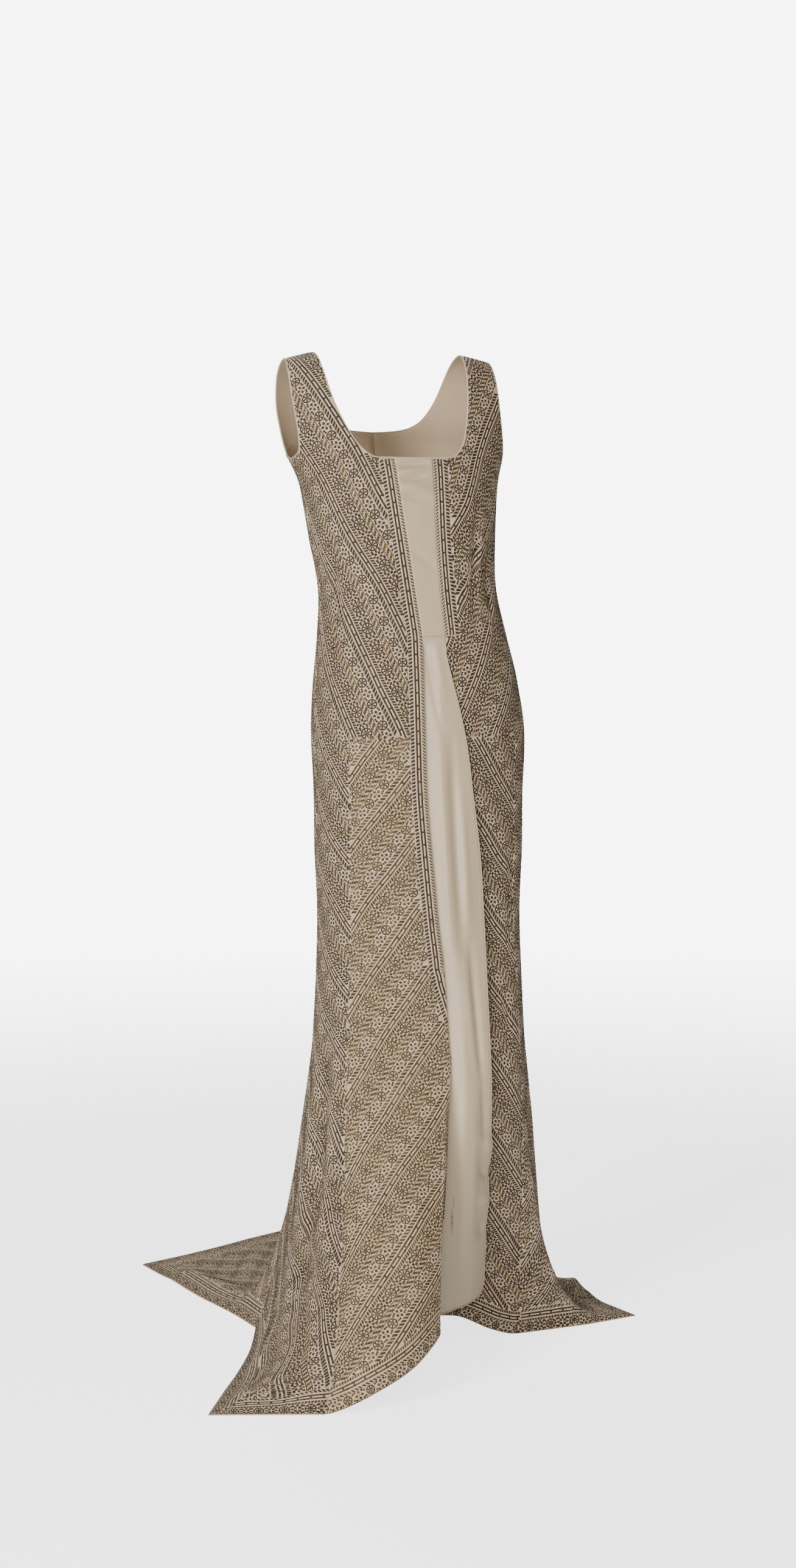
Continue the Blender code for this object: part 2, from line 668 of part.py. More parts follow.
def skin_normal(skin):
    return lambda place, drop: normal_of(skin, place, drop)


def make_skirt_fronts(material):
    """The inset lower fronts, between the hip seam, the side pieces and the front edges."""
    hip_angles = hip_row(border_angle(HIP_SEAM))[: INSET_COLUMNS + 1]
    bm, out = new_sheet()
    places = skirt_places(hip_angles, INSET_ANGLES, SKIRT_DROPS)
    for row in places:
        drop = row[0][1]
        row[0] = (border_angle(drop), drop)
    lay_grid(bm, out, places, right_skin, skin_normal(right_skin))
    finish_panel(bm, out, "skirt_front_right", BEADED_WALL, material)

    bm, out = new_sheet()
    hip_angles = hip_row(left_hip_neck(HIP_SEAM))[: INSET_COLUMNS + 1]
    places = mirrored(skirt_places(hip_angles, INSET_ANGLES, SKIRT_DROPS))
    for row in places:
        drop = row[0][1]
        edge = left_edge_angle(drop)
        first = row[0][0]
        row[0:1] = [(edge, drop), (mix(edge, first, 0.5), drop), (first, drop)]
    lay_grid(bm, out, places, left_skin, skin_normal(left_skin))
    finish_panel(bm, out, "skirt_front_left", BEADED_WALL, material)


def make_borders(material):
    """The straight bead borders: the right one runs to the hem, the left one to the insert's end."""
    seam_drops = [line.neck_drop for line in FRONT_LINES[NECK_CORNER:]]
    bm, out = new_sheet()
    drops = seam_drops + HIP_DROPS[1:] + SKIRT_DROPS[1:]
    places = [between((border_inner_angle(d), d), (border_angle(d), d), BORDER_COLUMNS) for d in drops]
    lay_grid(bm, out, places, right_skin, skin_normal(right_skin))
    finish_panel(bm, out, "border_right", BEADED_WALL, material)

    bm, out = new_sheet()
    places = [left_border_row(drop) for drop in seam_drops]
    lay_grid(bm, out, places, left_skin, skin_normal(left_skin))
    finish_panel(bm, out, "border_left", BEADED_WALL, material)


def insert_places():
    drops = [line.neck_drop for line in FRONT_LINES[NECK_CORNER:]]
    places = []
    for drop in drops:
        left = (left_border_inner_angle(drop) - 360.0, drop)
        places.append(between(left, (border_inner_angle(drop), drop), INSERT_COLUMNS))
    return places


def make_satin(material):
    """The bodice insert, and the long panel that hangs from its foot in the open front."""
    bm, out = new_sheet()
    lay_grid(bm, out, insert_places(), right_skin, skin_normal(right_skin))
    finish_panel(bm, out, "satin_insert", SATIN_WALL, material)

    bm, out = new_sheet()
    shares = [1.0 - i / SATIN_COLUMNS for i in range(SATIN_COLUMNS + 1)]
    places = [[(share, drop) for share in shares] for drop in SATIN_TOP_DROPS + SKIRT_DROPS]
    lay_grid(bm, out, places, satin_skin, satin_normal)
    finish_panel(bm, out, "satin_panel", SATIN_WALL, material)


def make_backs(material):
    """Each back is cut in one from the strap to the train, with a seam at the centre back."""
    for name, skin, turned in (("back_right", right_skin, False), ("back_left", left_skin, True)):
        bm, out = new_sheet()
        bodice = bodice_places(BACK_LINES, lambda drop: 180.0, BACK_COLUMNS, back=True)
        hips = [between((180.0, drop), (90.0, drop), BACK_COLUMNS) for drop in HIP_DROPS]
        hip_angles = [place[0] for place in hips[-1]]
        skirt = skirt_places(hip_angles, BACK_ANGLES[::-1], SKIRT_DROPS)
        for places in (bodice, hips, skirt):
            lay_grid(bm, out, mirrored(places) if turned else places, skin, skin_normal(skin))
        finish_panel(bm, out, name, BEADED_WALL, material)


def make_binding(name, places, skin_for, material):
    """A closed cream binding along an edge. places are the edge's points in order round it."""
    points = []
    normals = []
    for place, drop in places:
        skin = skin_for(place)
        points.append(skin(place, drop))
        normals.append(normal_of(skin, place, drop))
    count = len(points)
    corners = [(0.0, BINDING_PROUD), (1.0, BINDING_PROUD), (1.0, -1.0), (0.0, -1.0)]
    bm = bmesh.new()
    made = bmesh.ops.create_grid(bm, x_segments=count, y_segments=len(corners), size=0.5)
    for vert in made["verts"]:
        index = round((vert.co.x + 0.5) * count) % count
        across, level = corners[round((vert.co.y + 0.5) * len(corners)) % len(corners)]
        along = (points[(index + 1) % count] - points[index - 1]).normalized()
        open_way = normals[index].cross(along).normalized()
        depth = level if level > 0 else level * (BEADED_WALL + BINDING_PROUD)
        reach = BINDING_GAP + across * BINDING_WIDTH
        vert.co = points[index] + open_way * reach + normals[index] * depth
    bmesh.ops.remove_doubles(bm, verts=bm.verts[:], dist=1e-6)
    place_object(bm, name, material)


def side_skin(angle):
    return right_skin if angle <= 180.0 else left_skin


def make_bindings(material):
    """One binding round the neck and one round each armhole."""
    neck = bodice_places(FRONT_LINES[: NECK_CORNER + 1], border_angle, FRONT_COLUMNS)
    left_neck = mirrored(bodice_places(FRONT_LINES[: NECK_CORNER + 1], left_neck_seam, FRONT_COLUMNS))
    back = bodice_places(BACK_LINES[: NECK_CORNER + 1], lambda drop: 180.0, BACK_COLUMNS, back=True)
    left_back = mirrored(back)
    top = FRONT_LINES[NECK_CORNER].neck_drop
    right_border = between((border_inner_angle(top), top), (border_angle(top), top), BORDER_COLUMNS)
    left_border = left_border_row(top)[::-1]
    insert = [(angle + 360.0, drop) for angle, drop in insert_places()[0]][::-1]
    loop = [row[0] for row in neck]
    loop += right_border[::-1][1:]
    loop += insert[1:-1]
    loop += left_border
    loop += [row[0] for row in left_neck][::-1][1:]
    loop += [row[0] for row in left_back][1:]
    loop += [row[0] for row in back][::-1][1:-1]
    make_binding("neck_binding", loop, side_skin, material)

    arm = [row[-1] for row in neck[:NECK_CORNER]]
    back_arm = [row[-1] for row in back[:NECK_CORNER]]
    loop = back_arm + arm[::-1][1:-1]
    make_binding("arm_binding_right", loop, side_skin, material)
    loop = [(360.0 - angle, drop) for angle, drop in loop][::-1]
    make_binding("arm_binding_left", loop, side_skin, material)


def main():
    for old in list(bpy.data.objects):
        bpy.data.objects.remove(old)
    beaded = material_named("beaded_silk")
    satin = material_named("satin")
    binding = material_named("binding")
    make_front_right(beaded)
    make_front_left(beaded)
    make_skirt_fronts(beaded)
    make_borders(beaded)
    make_satin(satin)
    make_backs(beaded)
    make_bindings(binding)


main()
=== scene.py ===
# %% [markdown]
# # A bead-covered evening gown
# This lesson dresses the plain solids of a worn gown. Each panel of cloth is a thin curved sheet,
# its beads are small raised stones laid in the rows that an embroiderer would follow, and the
# satin between the fronts is left plain. The scene is in metres, with +Z up, and the solids are the
# fixed frame that the cloth has to fit.

# %% Load the frame
import math
from collections import namedtuple
from functools import lru_cache
from itertools import zip_longest

import bmesh
import bpy
import numpy as np
from mathutils import Matrix, Vector, noise
from mathutils.bvhtree import BVHTree


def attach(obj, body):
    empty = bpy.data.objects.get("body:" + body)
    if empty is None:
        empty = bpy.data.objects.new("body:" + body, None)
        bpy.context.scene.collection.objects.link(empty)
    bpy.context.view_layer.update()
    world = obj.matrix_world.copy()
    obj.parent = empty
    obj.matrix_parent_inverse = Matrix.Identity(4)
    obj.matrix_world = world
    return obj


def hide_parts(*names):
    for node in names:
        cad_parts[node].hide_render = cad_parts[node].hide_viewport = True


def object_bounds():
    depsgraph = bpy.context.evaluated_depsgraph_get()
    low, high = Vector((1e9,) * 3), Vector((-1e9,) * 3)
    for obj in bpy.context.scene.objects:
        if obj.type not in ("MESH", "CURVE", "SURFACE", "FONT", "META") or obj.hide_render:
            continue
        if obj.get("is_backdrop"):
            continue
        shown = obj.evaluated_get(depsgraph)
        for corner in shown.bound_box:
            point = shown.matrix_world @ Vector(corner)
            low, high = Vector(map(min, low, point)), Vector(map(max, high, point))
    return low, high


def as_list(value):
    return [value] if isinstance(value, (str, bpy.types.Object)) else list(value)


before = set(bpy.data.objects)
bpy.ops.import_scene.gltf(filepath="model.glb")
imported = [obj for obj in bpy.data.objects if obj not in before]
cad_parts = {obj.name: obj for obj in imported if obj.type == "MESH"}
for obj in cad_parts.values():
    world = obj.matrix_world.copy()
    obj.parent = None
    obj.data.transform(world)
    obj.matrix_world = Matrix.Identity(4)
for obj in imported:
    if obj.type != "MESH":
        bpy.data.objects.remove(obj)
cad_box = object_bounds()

MM = 0.001
FLOOR = -1.480
WHITE = (1.0, 1.0, 1.0, 1.0)
print("nodes in the frame:", sorted(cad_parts))

# %% [markdown]
# ## Camera, floor and light
# The gown was photographed from about chest height, a little to the wearer's right, with a long
# lens that looks slightly down. The camera stands on a circle round the figure, so a turn and a
# distance place it. The floor is one pale disc that fades out, so no horizon shows.

# %% Camera
CAMERA_TURN = math.radians(17.0)
CAMERA_TILT = math.radians(5.02)
CAMERA_DISTANCE = 4.0
CAMERA_ASIDE = 0.0165
CAMERA_HEIGHT = 1.2
SENSOR = 36.0
FOCAL_PER_LONG_SIDE = 4450 / 2576


def add_object(name, data):
    """Puts a camera, a light or a mesh into the scene, at the origin."""
    made = bpy.data.objects.new(name, data)
    bpy.context.scene.collection.objects.link(made)
    return made


camera = add_object("camera", bpy.data.cameras.new("camera"))
camera.data.sensor_width = SENSOR
camera.data.lens = SENSOR * FOCAL_PER_LONG_SIDE
camera.location = (
    -math.sin(CAMERA_TURN) * CAMERA_DISTANCE + math.cos(CAMERA_TURN) * CAMERA_ASIDE,
    -math.cos(CAMERA_TURN) * CAMERA_DISTANCE - math.sin(CAMERA_TURN) * CAMERA_ASIDE,
    FLOOR + CAMERA_HEIGHT,
)
camera.rotation_euler = (math.radians(90) - CAMERA_TILT, 0.0, -CAMERA_TURN)
bpy.context.scene.camera = camera
print("lens", round(camera.data.lens, 1), "mm")

# %% [markdown]
# ## Helpers for finishes
# A material is a small tree of nodes, and each node has sockets that hold a value or take a link.
# A few short helpers add a node, fill its sockets and give back its output, so that each finish
# further down reads as one short sum.


# %% Node helpers
def feed(tree, node, inputs):
    """Sets each input of a node to a value, or links it from another node's output."""
    for key, given in inputs.items():
        if isinstance(given, bpy.types.NodeSocket):
            tree.links.new(given, node.inputs[key])
        else:
            node.inputs[key].default_value = given


def add_node(tree, kind, inputs=(), **settings):
    node = tree.nodes.new(kind)
    for name, value in settings.items():
        setattr(node, name, value)
    feed(tree, node, dict(inputs))
    return node


def maths(tree, operation, *values, clamp=False):
    inputs = dict(enumerate(values))
    return add_node(tree, "ShaderNodeMath", inputs, operation=operation, use_clamp=clamp).outputs["Value"]


def vector_maths(tree, operation, *values):
    node = add_node(tree, "ShaderNodeVectorMath", dict(enumerate(values)), operation=operation)
    return node.outputs["Value" if operation == "LENGTH" else "Vector"]


def soft_fade(tree, distance, solid_to, gone_at):
    """1 up to the first distance, 0 past the second, and a smooth change between."""
    inputs = {"Value": distance, "From Min": solid_to, "From Max": gone_at, "To Min": 1.0, "To Max": 0.0}
    return add_node(tree, "ShaderNodeMapRange", inputs, interpolation_type="SMOOTHSTEP").outputs["Result"]


def new_material(name, inputs):
    """A material, and its Principled shader with these inputs."""
    material = bpy.data.materials.new(name)
    material.use_nodes = True
    shader = material.node_tree.nodes["Principled BSDF"]
    feed(material.node_tree, shader, inputs)
    return material, shader


# %% Floor
FLOOR_RADIUS = 6.0
FLOOR_SIDES = 96
FLOOR_SOLID_TO = 1.3
FLOOR_GONE_AT = 4.5
FLOOR_PAINT = {"Base Color": (0.93, 0.93, 0.93, 1.0), "Roughness": 0.9, "Emission Color": WHITE}
FLOOR_GLOW = 2.4


def mesh_from(name, bm):
    """The mesh that a bmesh has become."""
    mesh = bpy.data.meshes.new(name)
    bm.to_mesh(mesh)
    bm.free()
    return mesh


bm = bmesh.new()
bmesh.ops.create_circle(bm, cap_ends=True, radius=FLOOR_RADIUS, segments=FLOOR_SIDES)
bmesh.ops.translate(bm, verts=bm.verts[:], vec=(0.0, 0.0, FLOOR))
floor = add_object("floor", mesh_from("floor", bm))
floor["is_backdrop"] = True

material, paint = new_material("pale_floor", FLOOR_PAINT)
floor.data.materials.append(material)
tree = material.node_tree
seen = add_node(tree, "ShaderNodeLightPath").outputs["Is Camera Ray"]
place = add_node(tree, "ShaderNodeTexCoord").outputs["Object"]
from_middle = vector_maths(tree, "LENGTH", vector_maths(tree, "MULTIPLY", place, (1.0, 1.0, 0.0)))
feed(tree, paint, {
    "Emission Strength": maths(tree, "MULTIPLY", seen, FLOOR_GLOW),
    "Alpha": soft_fade(tree, from_middle, FLOOR_SOLID_TO, FLOOR_GONE_AT),
})
print("floor", 2 * FLOOR_RADIUS, "m across")

# %% Studio and lights
# How bright the white studio is as light, and as it is seen behind the gown
WORLD_LIGHT = 0.24
WORLD_SEEN = 7.0

world = bpy.data.worlds.new("studio")
world.use_nodes = True
tree = world.node_tree
seen = add_node(tree, "ShaderNodeLightPath").outputs["Is Camera Ray"]
brightness = {"Value": seen, "To Min": WORLD_LIGHT, "To Max": WORLD_SEEN}
strength = add_node(tree, "ShaderNodeMapRange", brightness).outputs["Result"]
feed(tree, tree.nodes["Background"], {"Color": WHITE, "Strength": strength})
bpy.context.scene.world = world


def soft_light(name, place, target, size, power):
    """A square softbox that looks at a point."""
    light = add_object(name, bpy.data.lights.new(name, "AREA"))
    light.data.size = size
    light.data.energy = power
    light.location = place
    aim = Vector(target) - Vector(place)
    light.rotation_euler = aim.to_track_quat("-Z", "Y").to_euler()


soft_light("key_light", (-2.9, -2.6, 1.6), (0.0, 0.0, -0.9), 1.2, 160)
soft_light("front_light", (-0.5, -3.7, 1.3), (0.0, 0.0, -0.5), 0.7, 26)
soft_light("low_light", (-1.6, -3.3, -1.25), (0.05, 0.0, -1.3), 1.0, 76)
soft_light("back_light", (0.6, 3.0, 2.6), (0.0, 0.2, -0.9), 1.8, 60)
print("lights:", [light.name for light in bpy.data.lights])

# %% [markdown]
# ## The form of the gown
# A gown on a figure is one skin. A point of it has an angle round the figure, in degrees from the
# centre front by the wearer's right (90) and the centre back (180) to the left (270), and a drop,
# the distance down the cloth from the shoulder. The tables are the same ones that the solids were
# made from, so the fine cloth lies on them. Short tables with named columns, in millimetres, keep the
# sizes in one place. Smooth curves through their rows give as many points as the cloth needs.

# %% Sizes of the form
BEADED_WALL = 0.0020
BORDER_WIDTH = 0.023
INSERT_END = 0.460
HIP_SEAM = 0.608
KNEE_DROP = 1.070
HEM_DROP = KNEE_DROP + 1.0
SEAM_GAP = 0.0003
# How square the figure's section is: 1 is an ellipse, and less is squarer
SQUARENESS = 0.87
SHOULDER_SLOPE_FROM = 0.116


def in_mm(row_type, rows, plain=0):
    """A table in metres from rows in millimetres. The first plain columns stay as they are."""
    return [row_type(*row[:plain], *(value / 1000 for value in row[plain:])) for row in rows]


# The slope is in millimetres a metre
Ring = namedtuple("Ring", "drop height centre_x half_width front back slope")
RINGS = in_mm(Ring, [
    (0, 1480, 0, 190, 0, 0, 250),
    (34, 1470, 0, 190, 30, 33, 230),
    (66, 1447, 1, 188, 52, 62, 160),
    (120, 1402, 4, 182, 73, 88, 40),
    (165, 1359, 9.5, 171.5, 86, 101, 0),
    (199, 1326, 14, 159, 95, 104, 0),
    (231, 1295, 17.5, 148, 106, 101, 0),
    (270, 1257, 19.5, 142.5, 113, 94, 0),
    (320, 1208, 23, 137.5, 110, 87, 0),
    (393, 1137, 30.5, 132.5, 103, 83, 0),
    (460, 1071, 37.5, 140.5, 110, 94, 0),
    (530, 1002, 44, 152, 113, 114, 0),
    (608, 924, 49, 159, 111, 130, 0),
    (695, 837, 50, 156, 108, 133, 0),
    (785, 747, 50, 155, 107, 131, 0),
    (876, 656, 50, 151.5, 108, 130, 0),
    (967, 565, 50.5, 154, 113, 134, 0),
    (1070, 461, 50, 159, 122, 145, 0),
])
# The satin insert between the two bead borders of the bodice
Insert = namedtuple("Insert", "drop centre_x half_width")
INSERT = in_mm(Insert, [
    (199, 11.6, 29),
    (263, 13.5, 25),
    (326, 21, 21.5),
    (390, 30.5, 19),
    (460, 38, 17.5),
])
# The front edges of the open skirt, and the free edge of the satin panel, by their X
Opening = namedtuple("Opening", "drop right_edge left_edge satin_edge")
OPENING = in_mm(Opening, [
    (460, 20.5, 55.5, 55.2),
    (485, 21, 55.6, 55.3),
    (510, 21.7, 55.6, 60.5),
    (608, 25, 55.6, 85.5),
    (695, 29, 55, 99),
    (785, 37, 52, 111),
    (876, 45.7, 49.5, 117),
    (967, 55.5, 47, 120.5),
    (1070, 61, 45, 123.5),
])

print(len(RINGS), "rings,", len(INSERT), "insert rows and", len(OPENING), "rows of the opening")

# %% Cross lines of the bodice
# They run from the neck or border to the armhole or side seam. "across" is the distance from the
# ring's centre. Past the end of a list of them, the lines end on their seam instead
Line = namedtuple("Line", "neck_across neck_drop arm_across arm_drop")
ON_SEAM = None
ARM_DROPS = (0, 18, 38, 62, 92, 124, 154, 177, 192, 200, 220, 242, 266, 292, 322, 355, 393, 428, 460)


def bodice_lines(neck_across, neck_drops, arm_across):
    """The cross lines of one side of the bodice, in metres from lists in millimetres."""
    lines = zip_longest(neck_across, neck_drops, arm_across, ARM_DROPS, fillvalue=ON_SEAM)
    return [Line(*(ON_SEAM if value is ON_SEAM else value / 1000 for value in line)) for line in lines]


FRONT_LINES = bodice_lines(
    (113, 112, 111, 109, 105, 99, 89, 79.5, 70.5, 62),
    (0, 18, 38, 65, 97, 128, 159, 179, 190.5, 196.5, 199.5, 218, 245, 278, 316, 355, 393, 428, 460),
    (154, 154.8, 155.6, 156.2, 156.2, 155.5, 154.5, 154.5, 156),
)
BACK_LINES = bodice_lines(
    (113, 111.5, 109.5, 105.5, 99, 89, 75, 58, 39, 19.5),
    (0, 18, 38, 64, 92, 117, 136, 147, 152, 154, 155, 185, 220, 262, 308, 355, 393, 428, 460),
    (154, 155.2, 156.4, 157.4, 157.8, 157.4, 156, 155.6, 156.4),
)
# Rows at which the open edges end on their seams
NECK_CORNER = 10
ARM_CORNER = 9
# Knee angles of the columns between the seams, on the wearer's right. The left mirrors them
INSET_ANGLES = [3.0, 11.0, 20.0, 28.5, 37.0, 46.0, 55.0]
SIDE_ANGLES = [55.0, 61.0, 66.0, 74.0, 82.0, 91.0, 100.0]
BACK_ANGLES = [100.0, 107.0, 114.0, 121.0, 128.0, 136.0, 145.0, 154.0, 163.0, 171.5, 180.0]
FRONT_COLUMNS = len(INSET_ANGLES) + len(SIDE_ANGLES) - 2
INSET_COLUMNS = len(INSET_ANGLES) - 1
BACK_COLUMNS = len(BACK_ANGLES) - 1
print(len(FRONT_LINES), "cross lines in front and", len(BACK_LINES), "behind")

# %% [markdown]
# ## Where the skirt comes down
# Below the knee the cloth leaves the figure and falls to the floor. Each column of it bends to a
# guide point and then runs straight to its hem point, so a short table of both gives the flares and
# the train. A cloth simulation could make them too, but it wouldn't keep to a given outline.

# %% Where the skirt comes down
# The guide point draws the cloth towards the floor, and the hem point is its end
Fall = namedtuple("Fall", "angle guide_x guide_y guide_z hem_x hem_y hem_z")
RIGHT_FALLS = in_mm(Fall, [
    (-2.7, 16, -222, 200, 11, -240, 89),
    (3, -6, -240, 190, -8, -262, 76),
    (20, -45, -268, 170, -55, -290, 47.5),
    (37, -98, -272, 130, -120, -300, 19),
    (46, -125, -265, 100, -152, -299, 7),
    (55, -140, -250, 65, -181, -298, 0),
    (61, -152, -210, 40, -258, -275, 0),
    (66, -162, -165, 25, -335, -253, 0),
    (74, -168, -105, 18, -290, -158, 0),
    (82, -167, -45, 22, -250, -76, 0),
    (91, -160, 30, 45, -207, 25, 0),
    (100, -146, 105, 90, -171, 134, 0),
    (107, -136, 155, 45, -190, 240, 0),
    (114, -128, 190, 15, -216, 335, 0),
    (128, -108, 232, 0, -262, 550, 0),
    (145, -85, 262, 0, -150, 603, 0),
    (163, -20, 280, 0, -45, 665, 0),
    (180, 50, 288, 0, 48, 715, 0),
], plain=1)
LEFT_FALLS = [RIGHT_FALLS[-1]] + in_mm(Fall, [
    (197, 115, 280, 0, 140, 668, 0),
    (215, 172, 264, 0, 245, 606, 0),
    (232, 220, 236, 0, 360, 548, 0),
    (246, 245, 205, 12, 313, 380, 0),
    (253, 252, 185, 35, 288, 305, 0),
    (260, 256, 165, 70, 268, 245, 0),
    (269, 262, 125, 35, 325, 218, 0),
    (278, 268, 85, 18, 376, 160, 0),
    (286, 262, 50, 16, 396, 95, 0),
    (294, 252, 18, 24, 414, 28, 0),
    (299, 236, 0, 40, 303, 0, 0),
    (305, 208, -18, 70, 205, -13, 0),
    (314, 185, -22, 100, 182, -10, 5),
    (323, 160, -26, 120, 158, -8, 13),
    (340, 115, -34, 140, 112, -14, 36),
    (357.6, 72, -46, 160, 70, -28, 46),
    (361, 52, -52, 170, 50, -34, 50),
], plain=1)
# Angles at which the hem is pointed or notched
HEM_CORNERS = (55.0, 66.0, 100.0, 128.0, 180.0, 232.0, 260.0, 294.0, 305.0)
SatinFall = namedtuple("SatinFall", "share guide_x guide_y guide_z hem_x hem_y hem_z")
SATIN_FALLS = in_mm(SatinFall, [
    (0, 24, -160, 210, 20, -166, 86),
    (0.35, 62, -134, 200, 58, -136, 84),
    (0.70, 102, -100, 200, 100, -100, 83.5),
    (0.90, 127, -74, 200, 124, -74, 88),
    (1, 136, -62, 200, 133, -62, 100),
], plain=1)
TURN_LENGTH = 0.10
KEEP_HEADING = 0.42
HEADING_STEP = 0.02
RIDGE_REACH = 0.06
FALL_SAMPLES = 24

# %% Folds and ridges
# Long soft folds of the skirt. Depth is outward, and a hollow is negative
Fold = namedtuple("Fold", "angle spread depth from_drop full_drop")
FOLDS = in_mm(Fold, [
    (64, 5, 6, 900, 1350),
    (74, 5, -8, 950, 1400),
    (86, 6, 7, 900, 1400),
    (112, 6, -9, 750, 1300),
    (128, 7, 12, 750, 1300),
    (146, 8, -12, 700, 1250),
    (163, 7, 12, 700, 1250),
    (180, 7, -10, 700, 1250),
    (198, 7, 12, 700, 1250),
    (216, 8, -12, 700, 1250),
    (234, 7, 11, 750, 1300),
    (250, 6, -8, 800, 1300),
    (276, 6, 8, 900, 1350),
    (290, 5, -8, 950, 1400),
], plain=2)
FOLD_HEIGHTS = (0.03, 0.25)
# Where cloth that lies on the floor is pushed up into a ridge
Ridge = namedtuple("Ridge", "from_x from_y to_x to_y height spread")
RIDGES = in_mm(Ridge, [
    (268, 85, 352, 150, 34, 26),
    (-150, 300, -205, 440, 12, 28),
    (130, 380, 190, 540, 14, 30),
    (-215, -150, -268, -215, 10, 22),
])

# %% How the fronts and the satin overlap
# The left front hangs further in where the satin and the right front pass over it
LEFT_TUCK = 0.012
LEFT_TUCK_ANGLES = (305.0, 338.0)
# The satin goes under the right border and over the left front
SATIN_UNDER = -0.0030
SATIN_OVER = 0.0027
SATIN_RISE = 0.024
SATIN_SETTLE = 0.022
SATIN_TUCKED = 0.012
SATIN_TUCK_DROPS = (0.485, 0.545)
SATIN_DEEPER = -0.0028
# Below the thigh the right border has rolled under, and the front's edge turns in
ROLL_DROPS = (0.93, 1.08)
ROLL_DEPTHS = (0.0030, 0.0060)
ROLL_DEEPER_DROPS = (1.12, 1.35)
ROLL_REACH = 0.012
ROLL_WALL = 0.0016
print(len(RIGHT_FALLS) + len(LEFT_FALLS), "falls,", len(FOLDS), "folds,", len(RIDGES), "ridges")


# %% [markdown]
# ## One skin from the tables
# A cubic curve through the rows of a table is smooth at every row, as a tailor's curve is. The skin
# asks the tables for the ring at a drop, puts a point on it by its angle, and adds the folds.

# %% Smooth curves through the tables
def smooth_step(low, high, value):
    """0 below low, 1 above high, and a soft change between."""
    share = min(max((value - low) / (high - low), 0.0), 1.0)
    return share * share * (3.0 - 2.0 * share)


def mix(a, b, share):
    return a + (b - a) * share


def hermite(t, a, start, b, end):
    """A smooth curve from a to b that leaves and arrives with these slopes."""
    leaving = (2 * t**3 - 3 * t**2 + 1) * a + (t**3 - 2 * t**2 + t) * start
    return leaving + ((3 * t**2 - 2 * t**3) * b + (t**3 - t**2) * end)


def row_at(table, value, level_start=()):
    """The row of a table at a value of its first column, on smooth curves through its rows."""
    value = min(max(value, table[0][0]), table[-1][0])
    below = max(i for i in range(len(table) - 1) if table[i][0] <= value)
    low, high = table[below], table[below + 1]
    span = high[0] - low[0]
    share = (value - low[0]) / span
    before = table[max(below - 1, 0)]
    after = table[min(below + 2, len(table) - 1)]
    made = []
    for name, a, b, c, d in zip(low._fields, before, low, high, after):
        start = (c - a) / (high[0] - before[0]) * span
        end = (d - b) / (after[0] - low[0]) * span
        if below == 0 and name in level_start:
            start = 0.0
        made.append(hermite(share, b, start, c, end))
    made[0] = value
    return type(low)(*made)


def smooth_run(values, steps):
    """A list of numbers with each gap split into steps, on a smooth curve through them."""
    made = []
    last = len(values) - 1
    for i in range(last):
        a, b = values[i], values[i + 1]
        start = (b - values[i - 1]) / 2 if i > 0 else b - a
        end = (values[i + 2] - a) / 2 if i + 2 <= last else b - a
        made += [hermite(step / steps, a, start, b, end) for step in range(steps)]
    return made + [values[-1]]


print("halfway between 0 and 1:", hermite(0.5, 0.0, 0.0, 1.0, 0.0))


# %% The ring, the edges and the hem at a place
@lru_cache(maxsize=None)
def ring_at(drop):
    return row_at(RINGS, drop, level_start=("height",))


@lru_cache(maxsize=None)
def insert_at(drop):
    return row_at(INSERT, drop)


@lru_cache(maxsize=None)
def opening_at(drop):
    return row_at(OPENING, min(drop, KNEE_DROP))


def hem_at(falls, angle):
    """The hem point at an angle, on curves that break at the hem's corners."""
    run = [falls[0]]
    for fall in falls[1:]:
        run.append(fall)
        if fall.angle in HEM_CORNERS:
            if angle <= fall.angle:
                break
            run = [fall]
    if len(run) < 2:
        run = falls[-2:]
    return Vector(row_at(run, angle)[4:7])


print("hip ring", [round(value, 3) for value in ring_at(HIP_SEAM)])


# %% The skin of the gown
def signed_power(value, power):
    return math.copysign(abs(value) ** power, value)


def fold_depth(angle, drop):
    """How far the skin stands out or in at its long folds."""
    depth = 0.0
    for fold in FOLDS:
        away = (angle - fold.angle) / fold.spread
        depth += fold.depth * math.exp(-away * away) * smooth_step(fold.from_drop, fold.full_drop, drop)
    return depth


def ring_point(angle, drop):
    """A point of the worn skin between the shoulder and the knee line."""
    ring = ring_at(drop)
    turn = math.radians(angle)
    across = -ring.half_width * signed_power(math.sin(turn), SQUARENESS)
    depth = ring.front if math.cos(turn) > 0 else ring.back
    y = -depth * signed_power(math.cos(turn), SQUARENESS)
    z = ring.height - ring.slope * max(abs(across) - SHOULDER_SLOPE_FROM, 0.0)
    point = Vector((ring.centre_x + across, y, z))
    outward = Vector((across / ring.half_width**2, y / max(depth, 0.01) ** 2, 0.0))
    if outward.length > 0:
        point += outward.normalized() * fold_depth(angle, drop)
    return point


def angle_of_x(x, drop, left=False):
    """The angle at which the front of the ring has this X. The left family counts from 360."""
    ring = ring_at(drop)
    across = (ring.centre_x - x) / ring.half_width
    angle = math.degrees(math.asin(signed_power(min(max(across, -1.0), 1.0), 1.0 / SQUARENESS)))
    return 360.0 + angle if left else angle


def across_angle(across, drop):
    """The front angle at this distance from the ring's centre."""
    return angle_of_x(ring_at(drop).centre_x - across, drop)


print("right side of the hip", tuple(round(value, 3) for value in ring_point(90.0, HIP_SEAM)))


